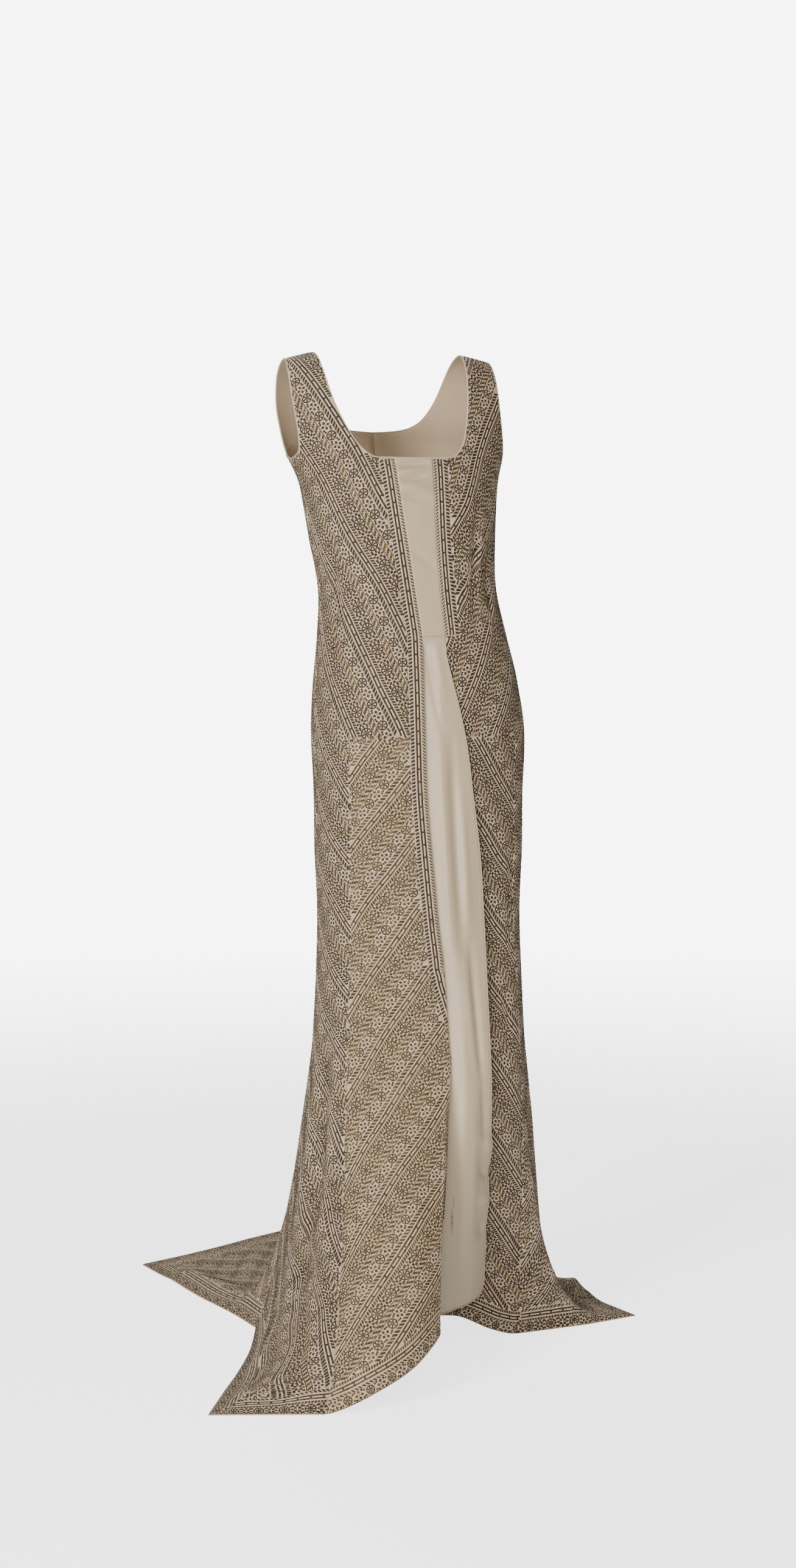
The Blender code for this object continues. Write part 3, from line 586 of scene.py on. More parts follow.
# %% Paths down to the floor
def fall_path(start, heading, guide, hem):
    """Points down a column from the knee line to the hem: a curve in, then straight along the floor."""
    lying = hem - guide
    landing = guide + lying * min(1.0, TURN_LENGTH / max(lying.length, 1e-6))
    second = start + heading * (guide - start).length * KEEP_HEADING
    points = []
    for i in range(FALL_SAMPLES + 1):
        t = i / FALL_SAMPLES
        s = 1.0 - t
        points.append(start * s**3 + second * (3 * s * s * t) + guide * (3 * s * t * t) + landing * t**3)
    points.append(hem)
    return points


def along_path(points, share):
    """The point at a share of a path's length."""
    lengths = [(b - a).length for a, b in zip(points, points[1:])]
    wanted = share * sum(lengths)
    for a, b, length in zip(points, points[1:], lengths):
        if wanted <= length:
            return a.lerp(b, wanted / length) if length > 0 else a.copy()
        wanted -= length
    return points[-1].copy()


def on_floor(point):
    """Keeps a point at least one wall above the floor, and lifts it over the floor's ridges."""
    nearness = 1.0 - smooth_step(0.0, RIDGE_REACH, point.z)
    lift = 0.0
    for ridge in RIDGES:
        start = Vector((ridge.from_x, ridge.from_y))
        run = Vector((ridge.to_x, ridge.to_y)) - start
        flat = Vector((point.x, point.y)) - start
        share = min(max(flat.dot(run) / run.length_squared, 0.0), 1.0)
        away = (flat - run * share).length / ridge.spread
        lift += ridge.height * math.exp(-away * away)
    point.z = max(point.z, BEADED_WALL) + lift * nearness
    return point


print("top of the left flare's ridge", round(on_floor(Vector((0.310, 0.118, 0.0))).z, 3))


# %% The beaded skin of each side
def beaded_skin(falls, tuck):
    """The skin function of one side: a point for an angle and a drop, above the floor."""

    def upper(angle, drop):
        point = ring_point(angle, drop)
        point.y += tuck(angle, drop)
        return point

    @lru_cache(maxsize=None)
    def column(angle):
        start = upper(angle, KNEE_DROP)
        heading = (start - upper(angle, KNEE_DROP - HEADING_STEP)).normalized()
        guide = Vector(row_at(falls, angle)[1:4])
        outward = Vector((start.x - ring_at(KNEE_DROP).centre_x, start.y, 0.0)).normalized()
        return fall_path(start, heading, guide, hem_at(falls, angle)), outward

    def skin(angle, drop):
        if drop <= KNEE_DROP:
            return upper(angle, drop)
        path, outward = column(angle)
        point = along_path(path, drop - KNEE_DROP)
        deeper = fold_depth(angle, drop) - fold_depth(angle, KNEE_DROP)
        point += outward * deeper * smooth_step(*FOLD_HEIGHTS, point.z)
        return on_floor(point)

    return skin


def no_tuck(angle, drop):
    return 0.0


def left_tuck(angle, drop):
    return LEFT_TUCK * smooth_step(INSERT_END, KNEE_DROP, drop) * smooth_step(*LEFT_TUCK_ANGLES, angle)


right_skin = beaded_skin(RIGHT_FALLS, no_tuck)
left_skin = beaded_skin(LEFT_FALLS, left_tuck)


def normal_of(skin, place, drop, place_step=0.4, drop_step=0.004):
    """The outward normal of a skin, from small steps round and down it."""
    high = min(drop + drop_step, HEM_DROP)
    low = max(drop - drop_step, 0.0)
    round_it = skin(place + place_step, drop) - skin(place - place_step, drop)
    down_it = skin(place, high) - skin(place, low)
    return round_it.cross(down_it).normalized()


print("foot of the right armhole", tuple(round(value, 3) for value in right_skin(90.0, 0.2)))


# %% The skin of the satin
def satin_upper(share, drop):
    """The satin panel above the knee line, by the share of its width from the wearer's right."""
    opening = opening_at(drop)
    tucked = SATIN_TUCKED * smooth_step(*SATIN_TUCK_DROPS, drop)
    near = opening.right_edge + SEAM_GAP - tucked
    far = opening.satin_edge - SEAM_GAP
    x = mix(near, far, share)
    angle = angle_of_x(x, drop)
    risen = smooth_step(opening.right_edge, opening.right_edge + SATIN_RISE, x)
    settled = smooth_step(INSERT_END, INSERT_END + SATIN_SETTLE, drop)
    under = SATIN_UNDER + SATIN_DEEPER * smooth_step(*ROLL_DROPS, drop)
    lift = mix(under, SATIN_OVER, risen) * settled
    return right_skin(angle, drop) + normal_of(right_skin, angle, drop) * lift


@lru_cache(maxsize=None)
def satin_column(share):
    start = satin_upper(share, KNEE_DROP)
    heading = (start - satin_upper(share, KNEE_DROP - HEADING_STEP)).normalized()
    fall = row_at(SATIN_FALLS, share)
    return fall_path(start, heading, Vector(fall[1:4]), Vector(fall[4:7]))


def satin_skin(share, drop):
    if drop <= KNEE_DROP:
        return satin_upper(share, drop)
    return along_path(satin_column(share), drop - KNEE_DROP)


print("middle of the satin's hem", tuple(round(value, 3) for value in satin_skin(0.5, HEM_DROP)))


# %% Seams and edges by angle
def front_edge_angle(drop, outward):
    """The right front's edge beside the satin, or a line this far outward from it."""
    drop = min(drop, KNEE_DROP)
    if drop < INSERT_END:
        insert = insert_at(drop)
        return angle_of_x(insert.centre_x - insert.half_width - outward, drop)
    return angle_of_x(opening_at(drop).right_edge - outward, drop)


def border_angle(drop):
    return front_edge_angle(drop, BORDER_WIDTH)


def border_inner_angle(drop):
    return front_edge_angle(drop, 0.0)


def border_seam_angle(drop):
    """Where the front's beads end: at the border, and at the front edge once that has rolled under."""
    return mix(border_angle(drop), border_inner_angle(drop), smooth_step(*ROLL_DROPS, drop))


def rolled_skin(angle, drop, under=0.0):
    """The right skin with the front edge turned in. under puts cloth behind the edge."""
    point = right_skin(angle, drop)
    rolled = smooth_step(*ROLL_DROPS, drop)
    if rolled == 0.0:
        return point
    edge = right_skin(border_inner_angle(drop), drop)
    depth = ROLL_DEPTHS[0] * rolled + ROLL_DEPTHS[1] * smooth_step(*ROLL_DEEPER_DROPS, drop)
    if under == 0.0:
        depth *= max(0.0, 1.0 - (point - edge).length / ROLL_REACH) ** 2
    if depth == 0.0:
        return point
    return point - normal_of(right_skin, angle, drop) * (depth + under)


def border_skin(share, drop):
    """The right border, with its share counted from the open edge. It rolls under lower down."""
    shown = 1.0 - smooth_step(*ROLL_DROPS, drop)
    from_seam = 1.0 - share
    from_edge = abs(shown - from_seam)
    under = ROLL_WALL * smooth_step(0.0, 0.10, from_edge) if from_seam > shown else 0.0
    return rolled_skin(mix(border_inner_angle(drop), border_angle(drop), from_edge), drop, under)


print("the right border meets the hip seam at", round(border_angle(HIP_SEAM), 1), "degrees")


# %% Seams of the left side, and the ends of the bodice lines
def left_border_angle(drop, outward=BORDER_WIDTH):
    """The left border's outer edge, or a line this far outward from the insert."""
    insert = insert_at(drop)
    return angle_of_x(insert.centre_x + insert.half_width + outward, drop, left=True)


def left_neck_seam(drop):
    """The left border's outer edge, mirrored onto the right so that both fronts share one table."""
    return 360.0 - left_border_angle(drop)


def left_hip_neck(drop):
    """The same edge below the insert, where it runs on under the satin to the hip seam."""
    return 360.0 - angle_of_x(opening_at(drop).left_edge + BORDER_WIDTH, drop, left=True)


def left_edge_angle(drop):
    """Front edge of the left front, under the satin, mirrored onto the right."""
    drop = min(drop, KNEE_DROP)
    return 360.0 - angle_of_x(opening_at(drop).left_edge, drop, left=True)


def line_end(across, drop, seam, back):
    """One end of a bodice line as (angle, drop), on the wearer's right."""
    if across is ON_SEAM:
        return seam(drop), drop
    angle = across_angle(across, drop)
    return 180.0 - angle if back else angle, drop


def side_seam(drop):
    return 90.0


def centre_back(drop):
    return 180.0


print("the left border ends at", round(left_border_angle(INSERT_END), 1), "degrees")


# %% [markdown]
# ## The grid of each panel
# A panel is laid out like graph paper: rows go down the cloth and columns go round it. Each crossing
# has a place on the skin, and a crossing outside the panel has none. Rows between the table's lines
# lie on smooth curves, so the neckline and the armholes come out round.

# %% Rows and columns of a panel
ROW_STEPS = 3
COLUMN_STEPS = 4
HIP_ROWS = 14
THIGH_ROWS = 48
LOWER_ROWS = 84
STRIP_COLUMNS = 2


def even_steps(start, end, count):
    return [mix(start, end, i / count) for i in range(count + 1)]


HIP_DROPS = even_steps(INSERT_END, HIP_SEAM, HIP_ROWS)
SKIRT_DROPS = even_steps(HIP_SEAM, KNEE_DROP, THIGH_ROWS) + even_steps(KNEE_DROP, HEM_DROP, LOWER_ROWS)[1:]


def level_row(start, end, drop, count):
    """Places evenly across the cloth at one drop, each (angle, drop)."""
    return [(angle, drop) for angle in even_steps(start, end, count)]


def between(start, end, count):
    """count + 1 places evenly from start to end, each (angle, drop)."""
    shares = [i / count for i in range(count + 1)]
    return [(mix(start[0], end[0], s), mix(start[1], end[1], s)) for s in shares]


def refine(row):
    """The same row with each gap between its places split."""
    made = []
    for start, end in zip(row, row[1:]):
        made += between(start, end, COLUMN_STEPS)[:-1]
    return made + [row[-1]]


def fine_ends(points, corner, seam):
    """One end of the bodice rows: round along the open edge to its corner, and then on the seam."""
    angles = smooth_run([angle for angle, drop in points[: corner + 1]], ROW_STEPS)
    drops = smooth_run([drop for angle, drop in points[: corner + 1]], ROW_STEPS)
    below = smooth_run([drop for angle, drop in points[corner:]], ROW_STEPS)[1:]
    return list(zip(angles, drops)) + [(seam(drop), drop) for drop in below]


def bodice_rows(lines, neck_seam, columns, back=False):
    necks = [line_end(line.neck_across, line.neck_drop, neck_seam, back) for line in lines]
    arms = [line_end(line.arm_across, line.arm_drop, side_seam, back) for line in lines]
    necks = fine_ends(necks, NECK_CORNER, neck_seam)
    arms = fine_ends(arms, ARM_CORNER, side_seam)
    return [between(neck, arm, columns * COLUMN_STEPS) for neck, arm in zip(necks, arms)]


def skirt_row(hip_angles, knee_angles, drop):
    """A row below the hip, whose columns move from their hip angles to their knee angles."""
    share = smooth_step(HIP_SEAM, KNEE_DROP, drop)
    return [(mix(a, b, share), drop) for a, b in zip(hip_angles, knee_angles)]


def mirrored(rows):
    """The same places on the wearer's left."""
    return [[None if p is None else (360.0 - p[0], p[1]) for p in row] for row in rows]


print(len(HIP_DROPS), "rows to the hip seam and", len(SKIRT_DROPS), "below it")


# %% Rows of the fronts and the backs
def front_rows(neck_seam, hip_neck, edge=None):
    """A front with its strap and its side of the skirt. edge adds the strip that reaches in below."""
    blank = [None] * (STRIP_COLUMNS * COLUMN_STEPS if edge else 0)
    rows = [blank + row for row in bodice_rows(FRONT_LINES, neck_seam, FRONT_COLUMNS)[:-1]]
    for drop in HIP_DROPS:
        neck = hip_neck(drop)
        strip = refine(level_row(edge(drop), neck, drop, STRIP_COLUMNS))[:-1] if edge else []
        rows.append(strip + refine(level_row(neck, 90.0, drop, FRONT_COLUMNS)))
    hip_angles = even_steps(hip_neck(HIP_SEAM), 90.0, FRONT_COLUMNS)[INSET_COLUMNS:]
    blank = blank + [None] * (INSET_COLUMNS * COLUMN_STEPS)
    return rows + [blank + refine(skirt_row(hip_angles, SIDE_ANGLES, drop)) for drop in SKIRT_DROPS[1:]]


def inset_rows(hip_neck, edge_angles):
    """A lower front, whose first columns follow its front edge."""
    hip_angles = even_steps(hip_neck(HIP_SEAM), 90.0, FRONT_COLUMNS)[: INSET_COLUMNS + 1]
    rows = []
    for drop in SKIRT_DROPS:
        row = skirt_row(hip_angles, INSET_ANGLES, drop)
        rows.append(refine(edge_angles(row[0][0], drop) + row[1:]))
    return rows


EDGE_STEPS = (0.0, 1.3, 3.0)


def right_inset_edge(first, drop):
    return [(border_seam_angle(drop) + step, drop) for step in EDGE_STEPS]


def left_inset_edge(first, drop):
    return level_row(left_edge_angle(drop), first, drop, len(EDGE_STEPS) - 1)


def back_rows():
    rows = bodice_rows(BACK_LINES, centre_back, BACK_COLUMNS, back=True)
    rows += [refine(level_row(180.0, 90.0, drop, BACK_COLUMNS)) for drop in HIP_DROPS[1:]]
    hip_angles = even_steps(180.0, 90.0, BACK_COLUMNS)
    return rows + [refine(skirt_row(hip_angles, BACK_ANGLES[::-1], drop)) for drop in SKIRT_DROPS[1:]]


print(len(back_rows()), "rows in a back")

# %% Rows of the strips and the satin
SEAM_DROPS = smooth_run([line.neck_drop for line in FRONT_LINES[NECK_CORNER:]], ROW_STEPS)
BORDER_COLUMNS = 12
INSERT_COLUMNS = 16
INSERT_ROWS = 140
SATIN_COLUMNS = 30
SATIN_ROWS = (40, 96, 110)


def strip_rows(start, end, drops, columns):
    """Rows across a strip, from one edge to the other at each drop."""
    return [level_row(start(drop), end(drop), drop, columns) for drop in drops]


def shared_rows(drops, columns):
    """The same for a strip whose places are shares of its width."""
    return strip_rows(lambda drop: 0.0, lambda drop: 1.0, drops, columns)


def right_border_rows():
    return shared_rows(SEAM_DROPS + HIP_DROPS[1:] + SKIRT_DROPS[1:], BORDER_COLUMNS)


def left_inner_angle(drop):
    return left_border_angle(drop, 0.0)


def left_border_rows():
    return strip_rows(left_inner_angle, left_border_angle, SEAM_DROPS, BORDER_COLUMNS)


def insert_rows():
    drops = even_steps(SEAM_DROPS[0], SEAM_DROPS[-1], INSERT_ROWS)
    return strip_rows(lambda drop: left_inner_angle(drop) - 360.0, border_inner_angle, drops, INSERT_COLUMNS)


def satin_rows():
    drops = even_steps(INSERT_END, HIP_SEAM, SATIN_ROWS[0])
    drops += even_steps(HIP_SEAM, KNEE_DROP, SATIN_ROWS[1])[1:]
    drops += even_steps(KNEE_DROP, HEM_DROP, SATIN_ROWS[2])[1:]
    return shared_rows(drops, SATIN_COLUMNS)


print(len(satin_rows()), "rows in the satin panel")

# %% [markdown]
# ## Laying the cloth
# Each sheet starts as a flat grid, and every crossing is moved to its place on the skin. Satin and
# beaded silk never hang quite true, so soft creases are listed: each one is a line in space
# with a width and a depth, and cloth near that line sinks or rises. A slow waver of under a
# millimetre keeps the long surfaces from looking machined.

# %% Creases
Crease = namedtuple("Crease", "x y z to_x to_y to_z spread depth")
SATIN_CREASES = in_mm(Crease, [
    # The insert, where it is drawn tight under the neckline
    (-13, -98, -166, 30, -97, -161, 4.5, -4.6),
    (-12, -101, -175, 20, -101, -171, 6, 3.2),
    (-8, -104, -185, 28, -104, -180, 5.2, -4),
    (-13, -107, -196, 30, -108, -198, 9, 3.4),
    (-13, -109, -207, 30, -111, -211, 7.5, -3.6),
    (2, -108, -283, 41, -105, -313, 6, -1.6),
    # The panel, in long soft hollows and rolls
    (26, -109, -425, 46, -114, -540, 5, -1.8),
    (40, -110, -425, 54, -113, -500, 4.5, 1.8),
    (64, -111, -560, 83, -109, -870, 7, -3.9),
    (50, -111, -580, 64, -110, -860, 8, 2.4),
    (80, -108, -640, 93, -109, -830, 6, 2.1),
    (95, -111, -860, 109, -120, -1050, 6, -3.9),
    (84, -110, -880, 95, -118, -1040, 7, 2.7),
    (104, -116, -1000, 118, -114, -1170, 6, -3.3),
    (70, -126, -1080, 78, -123, -1340, 9, -3.6),
    (92, -120, -1060, 100, -113, -1310, 10, 2.7),
    # Ripples of its free edge
    (112, -112, -1150, 130, -98, -1170, 11, 5.3),
    (112, -108, -1195, 132, -90, -1210, 10, -5.3),
    (114, -104, -1240, 134, -84, -1250, 11, 4.5),
    (114, -100, -1290, 134, -76, -1295, 11, -4.5),
])
BEADED_CREASES = in_mm(Crease, [
    # Tucks at the waist, deeper on the wearer's left
    (107, -95, -210, 103, -93, -400, 6, -2.4),
    (118, -88, -230, 115, -90, -380, 6, 2),
    (131, -74, -270, 136, -78, -420, 6, -2),
    (-101, -59, -240, -95, -48, -470, 9, -2),
    (-86, -78, -260, -80, -75, -430, 9, 1.2),
    (-20, 82, -330, 75, 82, -345, 11, -3),
    (-40, 82, -375, 40, 86, -385, 13, -2.4),
    (20, 90, -410, 120, 70, -400, 12, -2.2),
    (-110, 30, -300, -60, 78, -360, 10, -2.4),
    (150, 20, -310, 100, 78, -365, 10, -2.6),
    # Drag lines of the hip and thigh
    (188, -20, -480, 150, -80, -600, 13, -1.8),
    (-98, -30, -470, -60, -98, -570, 14, -1.6),
    (170, -70, -700, 165, -80, -880, 9, -2.2),
    (158, -86, -930, 155, -91, -1040, 8, -1.8),
    (190, 50, -650, 180, 70, -980, 16, 3),
    (-100, 60, -680, -100, 70, -1050, 18, -3),
    # Waves where the sides come down to the floor
    (-169, -46, -1362, -120, -169, -1289, 20, -5),
    (-150, -50, -1318, -112, -150, -1245, 20, 4),
    (-184, 7, -1431, -146, -198, -1359, 18, -4.5),
    (-139, -38, -1248, -106, -118, -1195, 18, -3),
    (188, -45, -1310, 206, -28, -1392, 12, -6),
    (213, -46, -1240, 229, -29, -1356, 14, 4.5),
    (240, 20, -1380, 300, 60, -1420, 16, -5),
    (-120, 420, -1478, -50, 600, -1478, 15, 4),
    (70, 400, -1478, 110, 620, -1478, 18, 5),
    (200, 300, -1478, 280, 470, -1478, 16, 4.5),
])
CREASES = {"beaded": BEADED_CREASES, "satin": SATIN_CREASES}
CREASE_ENDS = 0.12
WAVER = {"beaded": 0.0006, "satin": 0.0003}
WAVER_SCALE = {"beaded": 14.0, "satin": 9.0}
print({cloth: len(creases) for cloth, creases in CREASES.items()}, "creases")


# %% How deep the creases are
def near_line(points, start, end):
    """How far along a straight line each point is, as a share, and how far away from it."""
    run = end - start
    share = np.clip((points - start) @ run / (run @ run), 0.0, 1.0)
    return share, np.linalg.norm(points - start - share[:, None] * run, axis=1)


def crease_depths(points, cloth):
    """How far the cloth moves out or in at each point, from the creases near it."""
    depths = np.zeros(len(points))
    for crease in CREASES[cloth]:
        share, away = near_line(points, np.array(crease[:3]), np.array(crease[3:6]))
        away /= crease.spread
        fade = np.sin(math.pi * (CREASE_ENDS + (1.0 - 2 * CREASE_ENDS) * share))
        depths += crease.depth * np.exp(-away * away) * fade
    return depths


# %% Make a sheet of cloth
WALLS = {"beaded": 0.0014, "satin": 0.0010}
# The faces above this height tell whether a new sheet is inside out
FACING_HEIGHT = 0.5
sheets = {}
charts = {}


def lay_sheet(name, rows, skin, cloth):
    """The cloth of one panel as a mesh object. Its rows and columns are kept as attributes."""
    count = len(rows[0])
    bm = bmesh.new()
    row_of = bm.verts.layers.int.new("row")
    column_of = bm.verts.layers.int.new("column")
    made = bmesh.ops.create_grid(bm, x_segments=count - 1, y_segments=len(rows) - 1, size=0.5)
    spare = []
    for vert in made["verts"]:
        column = round((vert.co.x + 0.5) * (count - 1))
        row = round((vert.co.y + 0.5) * (len(rows) - 1))
        vert[row_of] = row
        vert[column_of] = column
        place = rows[row][column]
        if place is None:
            spare.append(vert)
        else:
            vert.co = skin(*place)
            vert.co.z += FLOOR
    bmesh.ops.delete(bm, geom=spare, context="VERTS")
    bm.normal_update()
    top = [face for face in bm.faces if face.calc_center_median().z > FLOOR + FACING_HEIGHT]
    outward = sum(face.normal.dot(face.calc_center_median() * Vector((1, 1, 0))) for face in top)
    if outward < 0:
        bmesh.ops.reverse_faces(bm, faces=bm.faces[:])
        bm.normal_update()
    depths = crease_depths(np.array([vert.co[:] for vert in bm.verts]), cloth)
    for vert, depth in zip(bm.verts, depths.tolist()):
        waver = noise.noise(vert.co * WAVER_SCALE[cloth]) * WAVER[cloth]
        moved = vert.normal * (waver + depth)
        moved.z = max(moved.z, FLOOR + BEADED_WALL - vert.co.z)
        vert.co += moved
    sheet = add_object(name, mesh_from(name, bm))
    sheet.data.shade_smooth()
    sheets[name] = sheet


# %% Lay every panel
lay_sheet("front_right", front_rows(border_angle, border_angle), right_skin, "beaded")
left_rows = mirrored(front_rows(left_neck_seam, left_hip_neck, left_edge_angle))
lay_sheet("front_left", left_rows, left_skin, "beaded")
lay_sheet("skirt_front_right", inset_rows(border_angle, right_inset_edge), rolled_skin, "beaded")
lay_sheet("skirt_front_left", mirrored(inset_rows(left_hip_neck, left_inset_edge)), left_skin, "beaded")
lay_sheet("back_right", back_rows(), right_skin, "beaded")
lay_sheet("back_left", mirrored(back_rows()), left_skin, "beaded")
lay_sheet("border_right", right_border_rows(), border_skin, "beaded")
lay_sheet("border_left", left_border_rows(), left_skin, "beaded")
lay_sheet("satin_insert", insert_rows(), right_skin, "satin")
lay_sheet("satin_panel", satin_rows(), satin_skin, "satin")
for name, sheet in sheets.items():
    print(name, len(sheet.data.vertices), "points", len(sheet.data.polygons), "faces")

# %% [markdown]
# ## The flat cut of each panel
# The embroidery was worked on flat cloth, so its pattern needs the flat shape of each panel. Blender
# can lay a curved sheet flat with as little stretch as it can, as a cutter would. The flat
# shape is then brought to its real size and turned so that up on the gown is up on the cloth.

# %% Flatten the panels
FLATTEN_ROUNDS = 30
GRAIN_HEIGHTS = (0.45, 1.40)


def read_each(items, field, width=1, kind=np.float32):
    """A value, or a row of width values, from every item of a mesh."""
    values = np.zeros(len(items) * width, kind)
    items.foreach_get(field, values)
    if width > 1:
        values = values.reshape(-1, width)
    return values.astype(float) if kind is np.float32 else values


def quad_area(places, corners):
    """The whole area of some four-cornered faces, from the crossing of their diagonals."""
    one = places[corners[:, 2]] - places[corners[:, 0]]
    two = places[corners[:, 3]] - places[corners[:, 1]]
    return np.linalg.norm(np.cross(one, two), axis=1).sum() / 2


def flatten_sheet(sheet):
    """The flat place and the worn place of every point of a sheet, in metres, and its area."""
    mesh = sheet.data
    mesh.uv_layers.new(name="cut")
    for other in bpy.context.selected_objects:
        other.select_set(False)
    sheet.select_set(True)
    bpy.context.view_layer.objects.active = sheet
    bpy.ops.object.mode_set(mode="EDIT")
    bpy.ops.mesh.select_all(action="SELECT")
    bpy.ops.uv.unwrap(method="MINIMUM_STRETCH", fill_holes=False, iterations=FLATTEN_ROUNDS)
    bpy.ops.object.mode_set(mode="OBJECT")
    places = read_each(mesh.vertices, "co", 3)
    corner_point = read_each(mesh.loops, "vertex_index", kind=np.int32)
    level = np.zeros_like(places)
    level[corner_point, :2] = read_each(mesh.uv_layers["cut"].uv, "vector", 2)
    corners = corner_point.reshape(-1, 4)
    real_area = quad_area(places, corners)
    flat = level[:, :2] * math.sqrt(real_area / quad_area(level, corners))

    heights = places[:, 2] - FLOOR
    used = (heights > GRAIN_HEIGHTS[0]) & (heights < GRAIN_HEIGHTS[1])
    sides = np.column_stack([flat[used], np.ones(used.sum())])
    up = np.linalg.lstsq(sides, heights[used], rcond=None)[0][:2]
    up /= np.linalg.norm(up)
    flat = np.column_stack([flat @ [up[1], -up[0]], flat @ up])
    flat -= flat.min(0)
    mesh.uv_layers["cut"].uv.foreach_set("vector", flat[corner_point].astype(np.float32).ravel())
    return flat, places, real_area


# %% The smallest box round each cut
def cut_box(flat):
    """Width and length of the smallest rectangle that holds a flat shape."""
    best = None
    for degrees in range(-60, 61):
        turn = math.radians(degrees)
        across = flat @ [math.cos(turn), math.sin(turn)]
        along = flat @ [-math.sin(turn), math.cos(turn)]
        width, length = float(np.ptp(across)), float(np.ptp(along))
        if best is None or width * length < best[0] * best[1]:
            best = (width, length)
    return best


for name, sheet in sheets.items():
    flat, places, area = flatten_sheet(sheet)
    width, length = cut_box(flat)
    charts[name] = (flat, places, area)
    size = f"{width:.3f} x {length:.3f} m, {area:.4f} m2"
    print(f"{name}: cut {size}, {area / (width * length):.2f} of its box")

# %% [markdown]
# ## The chart of the embroidery
# The cloth is covered with slanting bands, and each band repeats a few simple shapes: a ladder of
# two cords, rows of short bars, wheels with petals, leaf crosses and a zigzag. All of them are common
# ornaments. One repeat is charted here in millimetres, x across the bands and y along them.
# A bead is a low pyramid with four sides, so thousands of them stay light.

# %% One bead
Bead = namedtuple("Bead", "x y width length turn slant tint leaf")
DARK, GOLD, CREAM, GLINT = range(4)
BEAD_FOOT = -0.06 * MM
BEAD_TOP = 0.60 * MM


def bar(x, y, width, length, tint=DARK, turn=0.0, slant=0.0):
    """A four-sided bead with square ends, or slanting ones."""
    return Bead(x, y, width, length, turn, slant, tint, False)


def leaf(x, y, width, length, tint=DARK, turn=0.0):
    """A pointed bead, long along its own y."""
    return Bead(x, y, width, length, turn, 0.0, tint, True)


def add_bead(bm, bead, point_order, face_order, number):
    size = Matrix.Diagonal((bead.width / 2 * MM, bead.length / 2 * MM, BEAD_TOP - BEAD_FOOT, 1.0))
    lean = Matrix.Identity(4)
    lean[1][0] = bead.slant
    place = Matrix.Translation((bead.x * MM, bead.y * MM, (BEAD_FOOT + BEAD_TOP) / 2))
    turn = Matrix.Rotation(bead.turn, 4, "Z")
    square = Matrix.Rotation(0.0 if bead.leaf else math.radians(45), 4, "Z")
    made = bmesh.ops.create_cone(
        bm, cap_ends=True, segments=4, radius1=1.0 if bead.leaf else math.sqrt(2), radius2=0.0,
        depth=1.0, matrix=place @ turn @ lean @ size @ square,
    )
    for vert in made["verts"]:
        vert[point_order] = number
        for face in vert.link_faces:
            face[face_order] = number
            face.material_index = bead.tint


# %% Rows, cords and ladders
def bar_row(x, width, length, count, repeat, tint=DARK, slant=0.0, turn=0.0):
    pitch = repeat / count
    return [bar(x, (i + 0.5) * pitch, width, length, tint, turn, slant) for i in range(count)]


CORD_OVERLAP = 1.14
RUNG_CORES = (0.22, 0.50, 0.78)
CORE_LENGTH = 0.24


def cord_line(x, width, count, repeat, tint=DARK):
    return bar_row(x, width, repeat / count * CORD_OVERLAP, count, repeat, tint)


def around(x, y, radius, count, width, length, tint, leaf_shape=False, start=0.0):
    """Beads round a point. Their width is along the ray, and their length across it."""
    beads = []
    for i in range(count):
        angle = math.tau * (i + start) / count
        place = (x + radius * math.cos(angle), y + radius * math.sin(angle))
        beads.append(Bead(*place, width, length, angle, 0.0, tint, leaf_shape))
    return beads


def ladder(x, repeat, rungs):
    """Two dark cords with rungs and a bright core between them, and a bright cord along each side."""
    beads = []
    for side in (-1, 1):
        beads += cord_line(x + side * 2.4, 2.9, 6, repeat)
        beads += cord_line(x + side * 4.4, 0.9, 6, repeat, CREAM)
    pitch = repeat / rungs
    for i in range(rungs):
        beads.append(bar(x, (i + 0.5) * pitch, 3.4, 2.8))
        for step in RUNG_CORES:
            beads.append(bar(x, (i + 0.5 + step) * pitch, 1.5, pitch * CORE_LENGTH, CREAM))
    return beads


# %% Wheels, crosses and zigzags
def wheel(x, y, radius, rim, spokes):
    beads = around(x, y, radius - 1.0, rim, 2.3, math.tau * (radius - 1.0) / rim * 1.18, DARK)
    beads += around(x, y, radius * 0.54, spokes, radius * 0.66, 2.3, DARK)
    beads += around(x, y, radius * 0.62, spokes, radius * 0.44, 2.2, CREAM, True, 0.5)
    return beads + [leaf(x, y, radius * 0.66, radius * 0.66, DARK)]


def leaf_cross(x, y):
    beads = around(x, y, 3.9, 4, 6.6, 5.8, DARK, True, 0.5)
    beads += around(x, y, 8.4, 4, 5.4, 5.8, DARK, True, 0.5)
    beads += around(x, y, 6.5, 4, 6.4, 4.8, DARK, True)
    return beads + [leaf(x, y, 2.0, 2.0, CREAM)]


def diamond_cross(x, y):
    beads = around(x, y, 4.2, 4, 6.2, 5.6, DARK, True)
    beads += around(x, y, 4.0, 4, 2.2, 2.2, CREAM, True, 0.5)
    beads += around(x, y, 7.6, 4, 4.8, 4.6, DARK, True, 0.5)
    return beads + [leaf(x, y, 2.6, 2.6, GOLD)]


def zigzag(x, repeat, count):
    pitch = repeat / count
    beads = []
    for i in range(count):
        for side in (-1, 1):
            y = (i + 0.5 + side * 0.25) * pitch
            beads.append(bar(x + side * 1.7, y, 3.4, 5.6, GOLD, math.radians(-28)))
        beads.append(leaf(x, (i + 0.5) * pitch, 2.6, 7.4, DARK, math.radians(38)))
    return beads


def dots(x, y, reach):
    """Two small beads that fill the ground between a wheel and a cross."""
    return [leaf(x - reach, y, 4.6, 4.6), leaf(x + reach, y, 4.6, 4.6)]


# %% The charts
FIELD_WIDTH = 64.4
REPEAT = 34.0


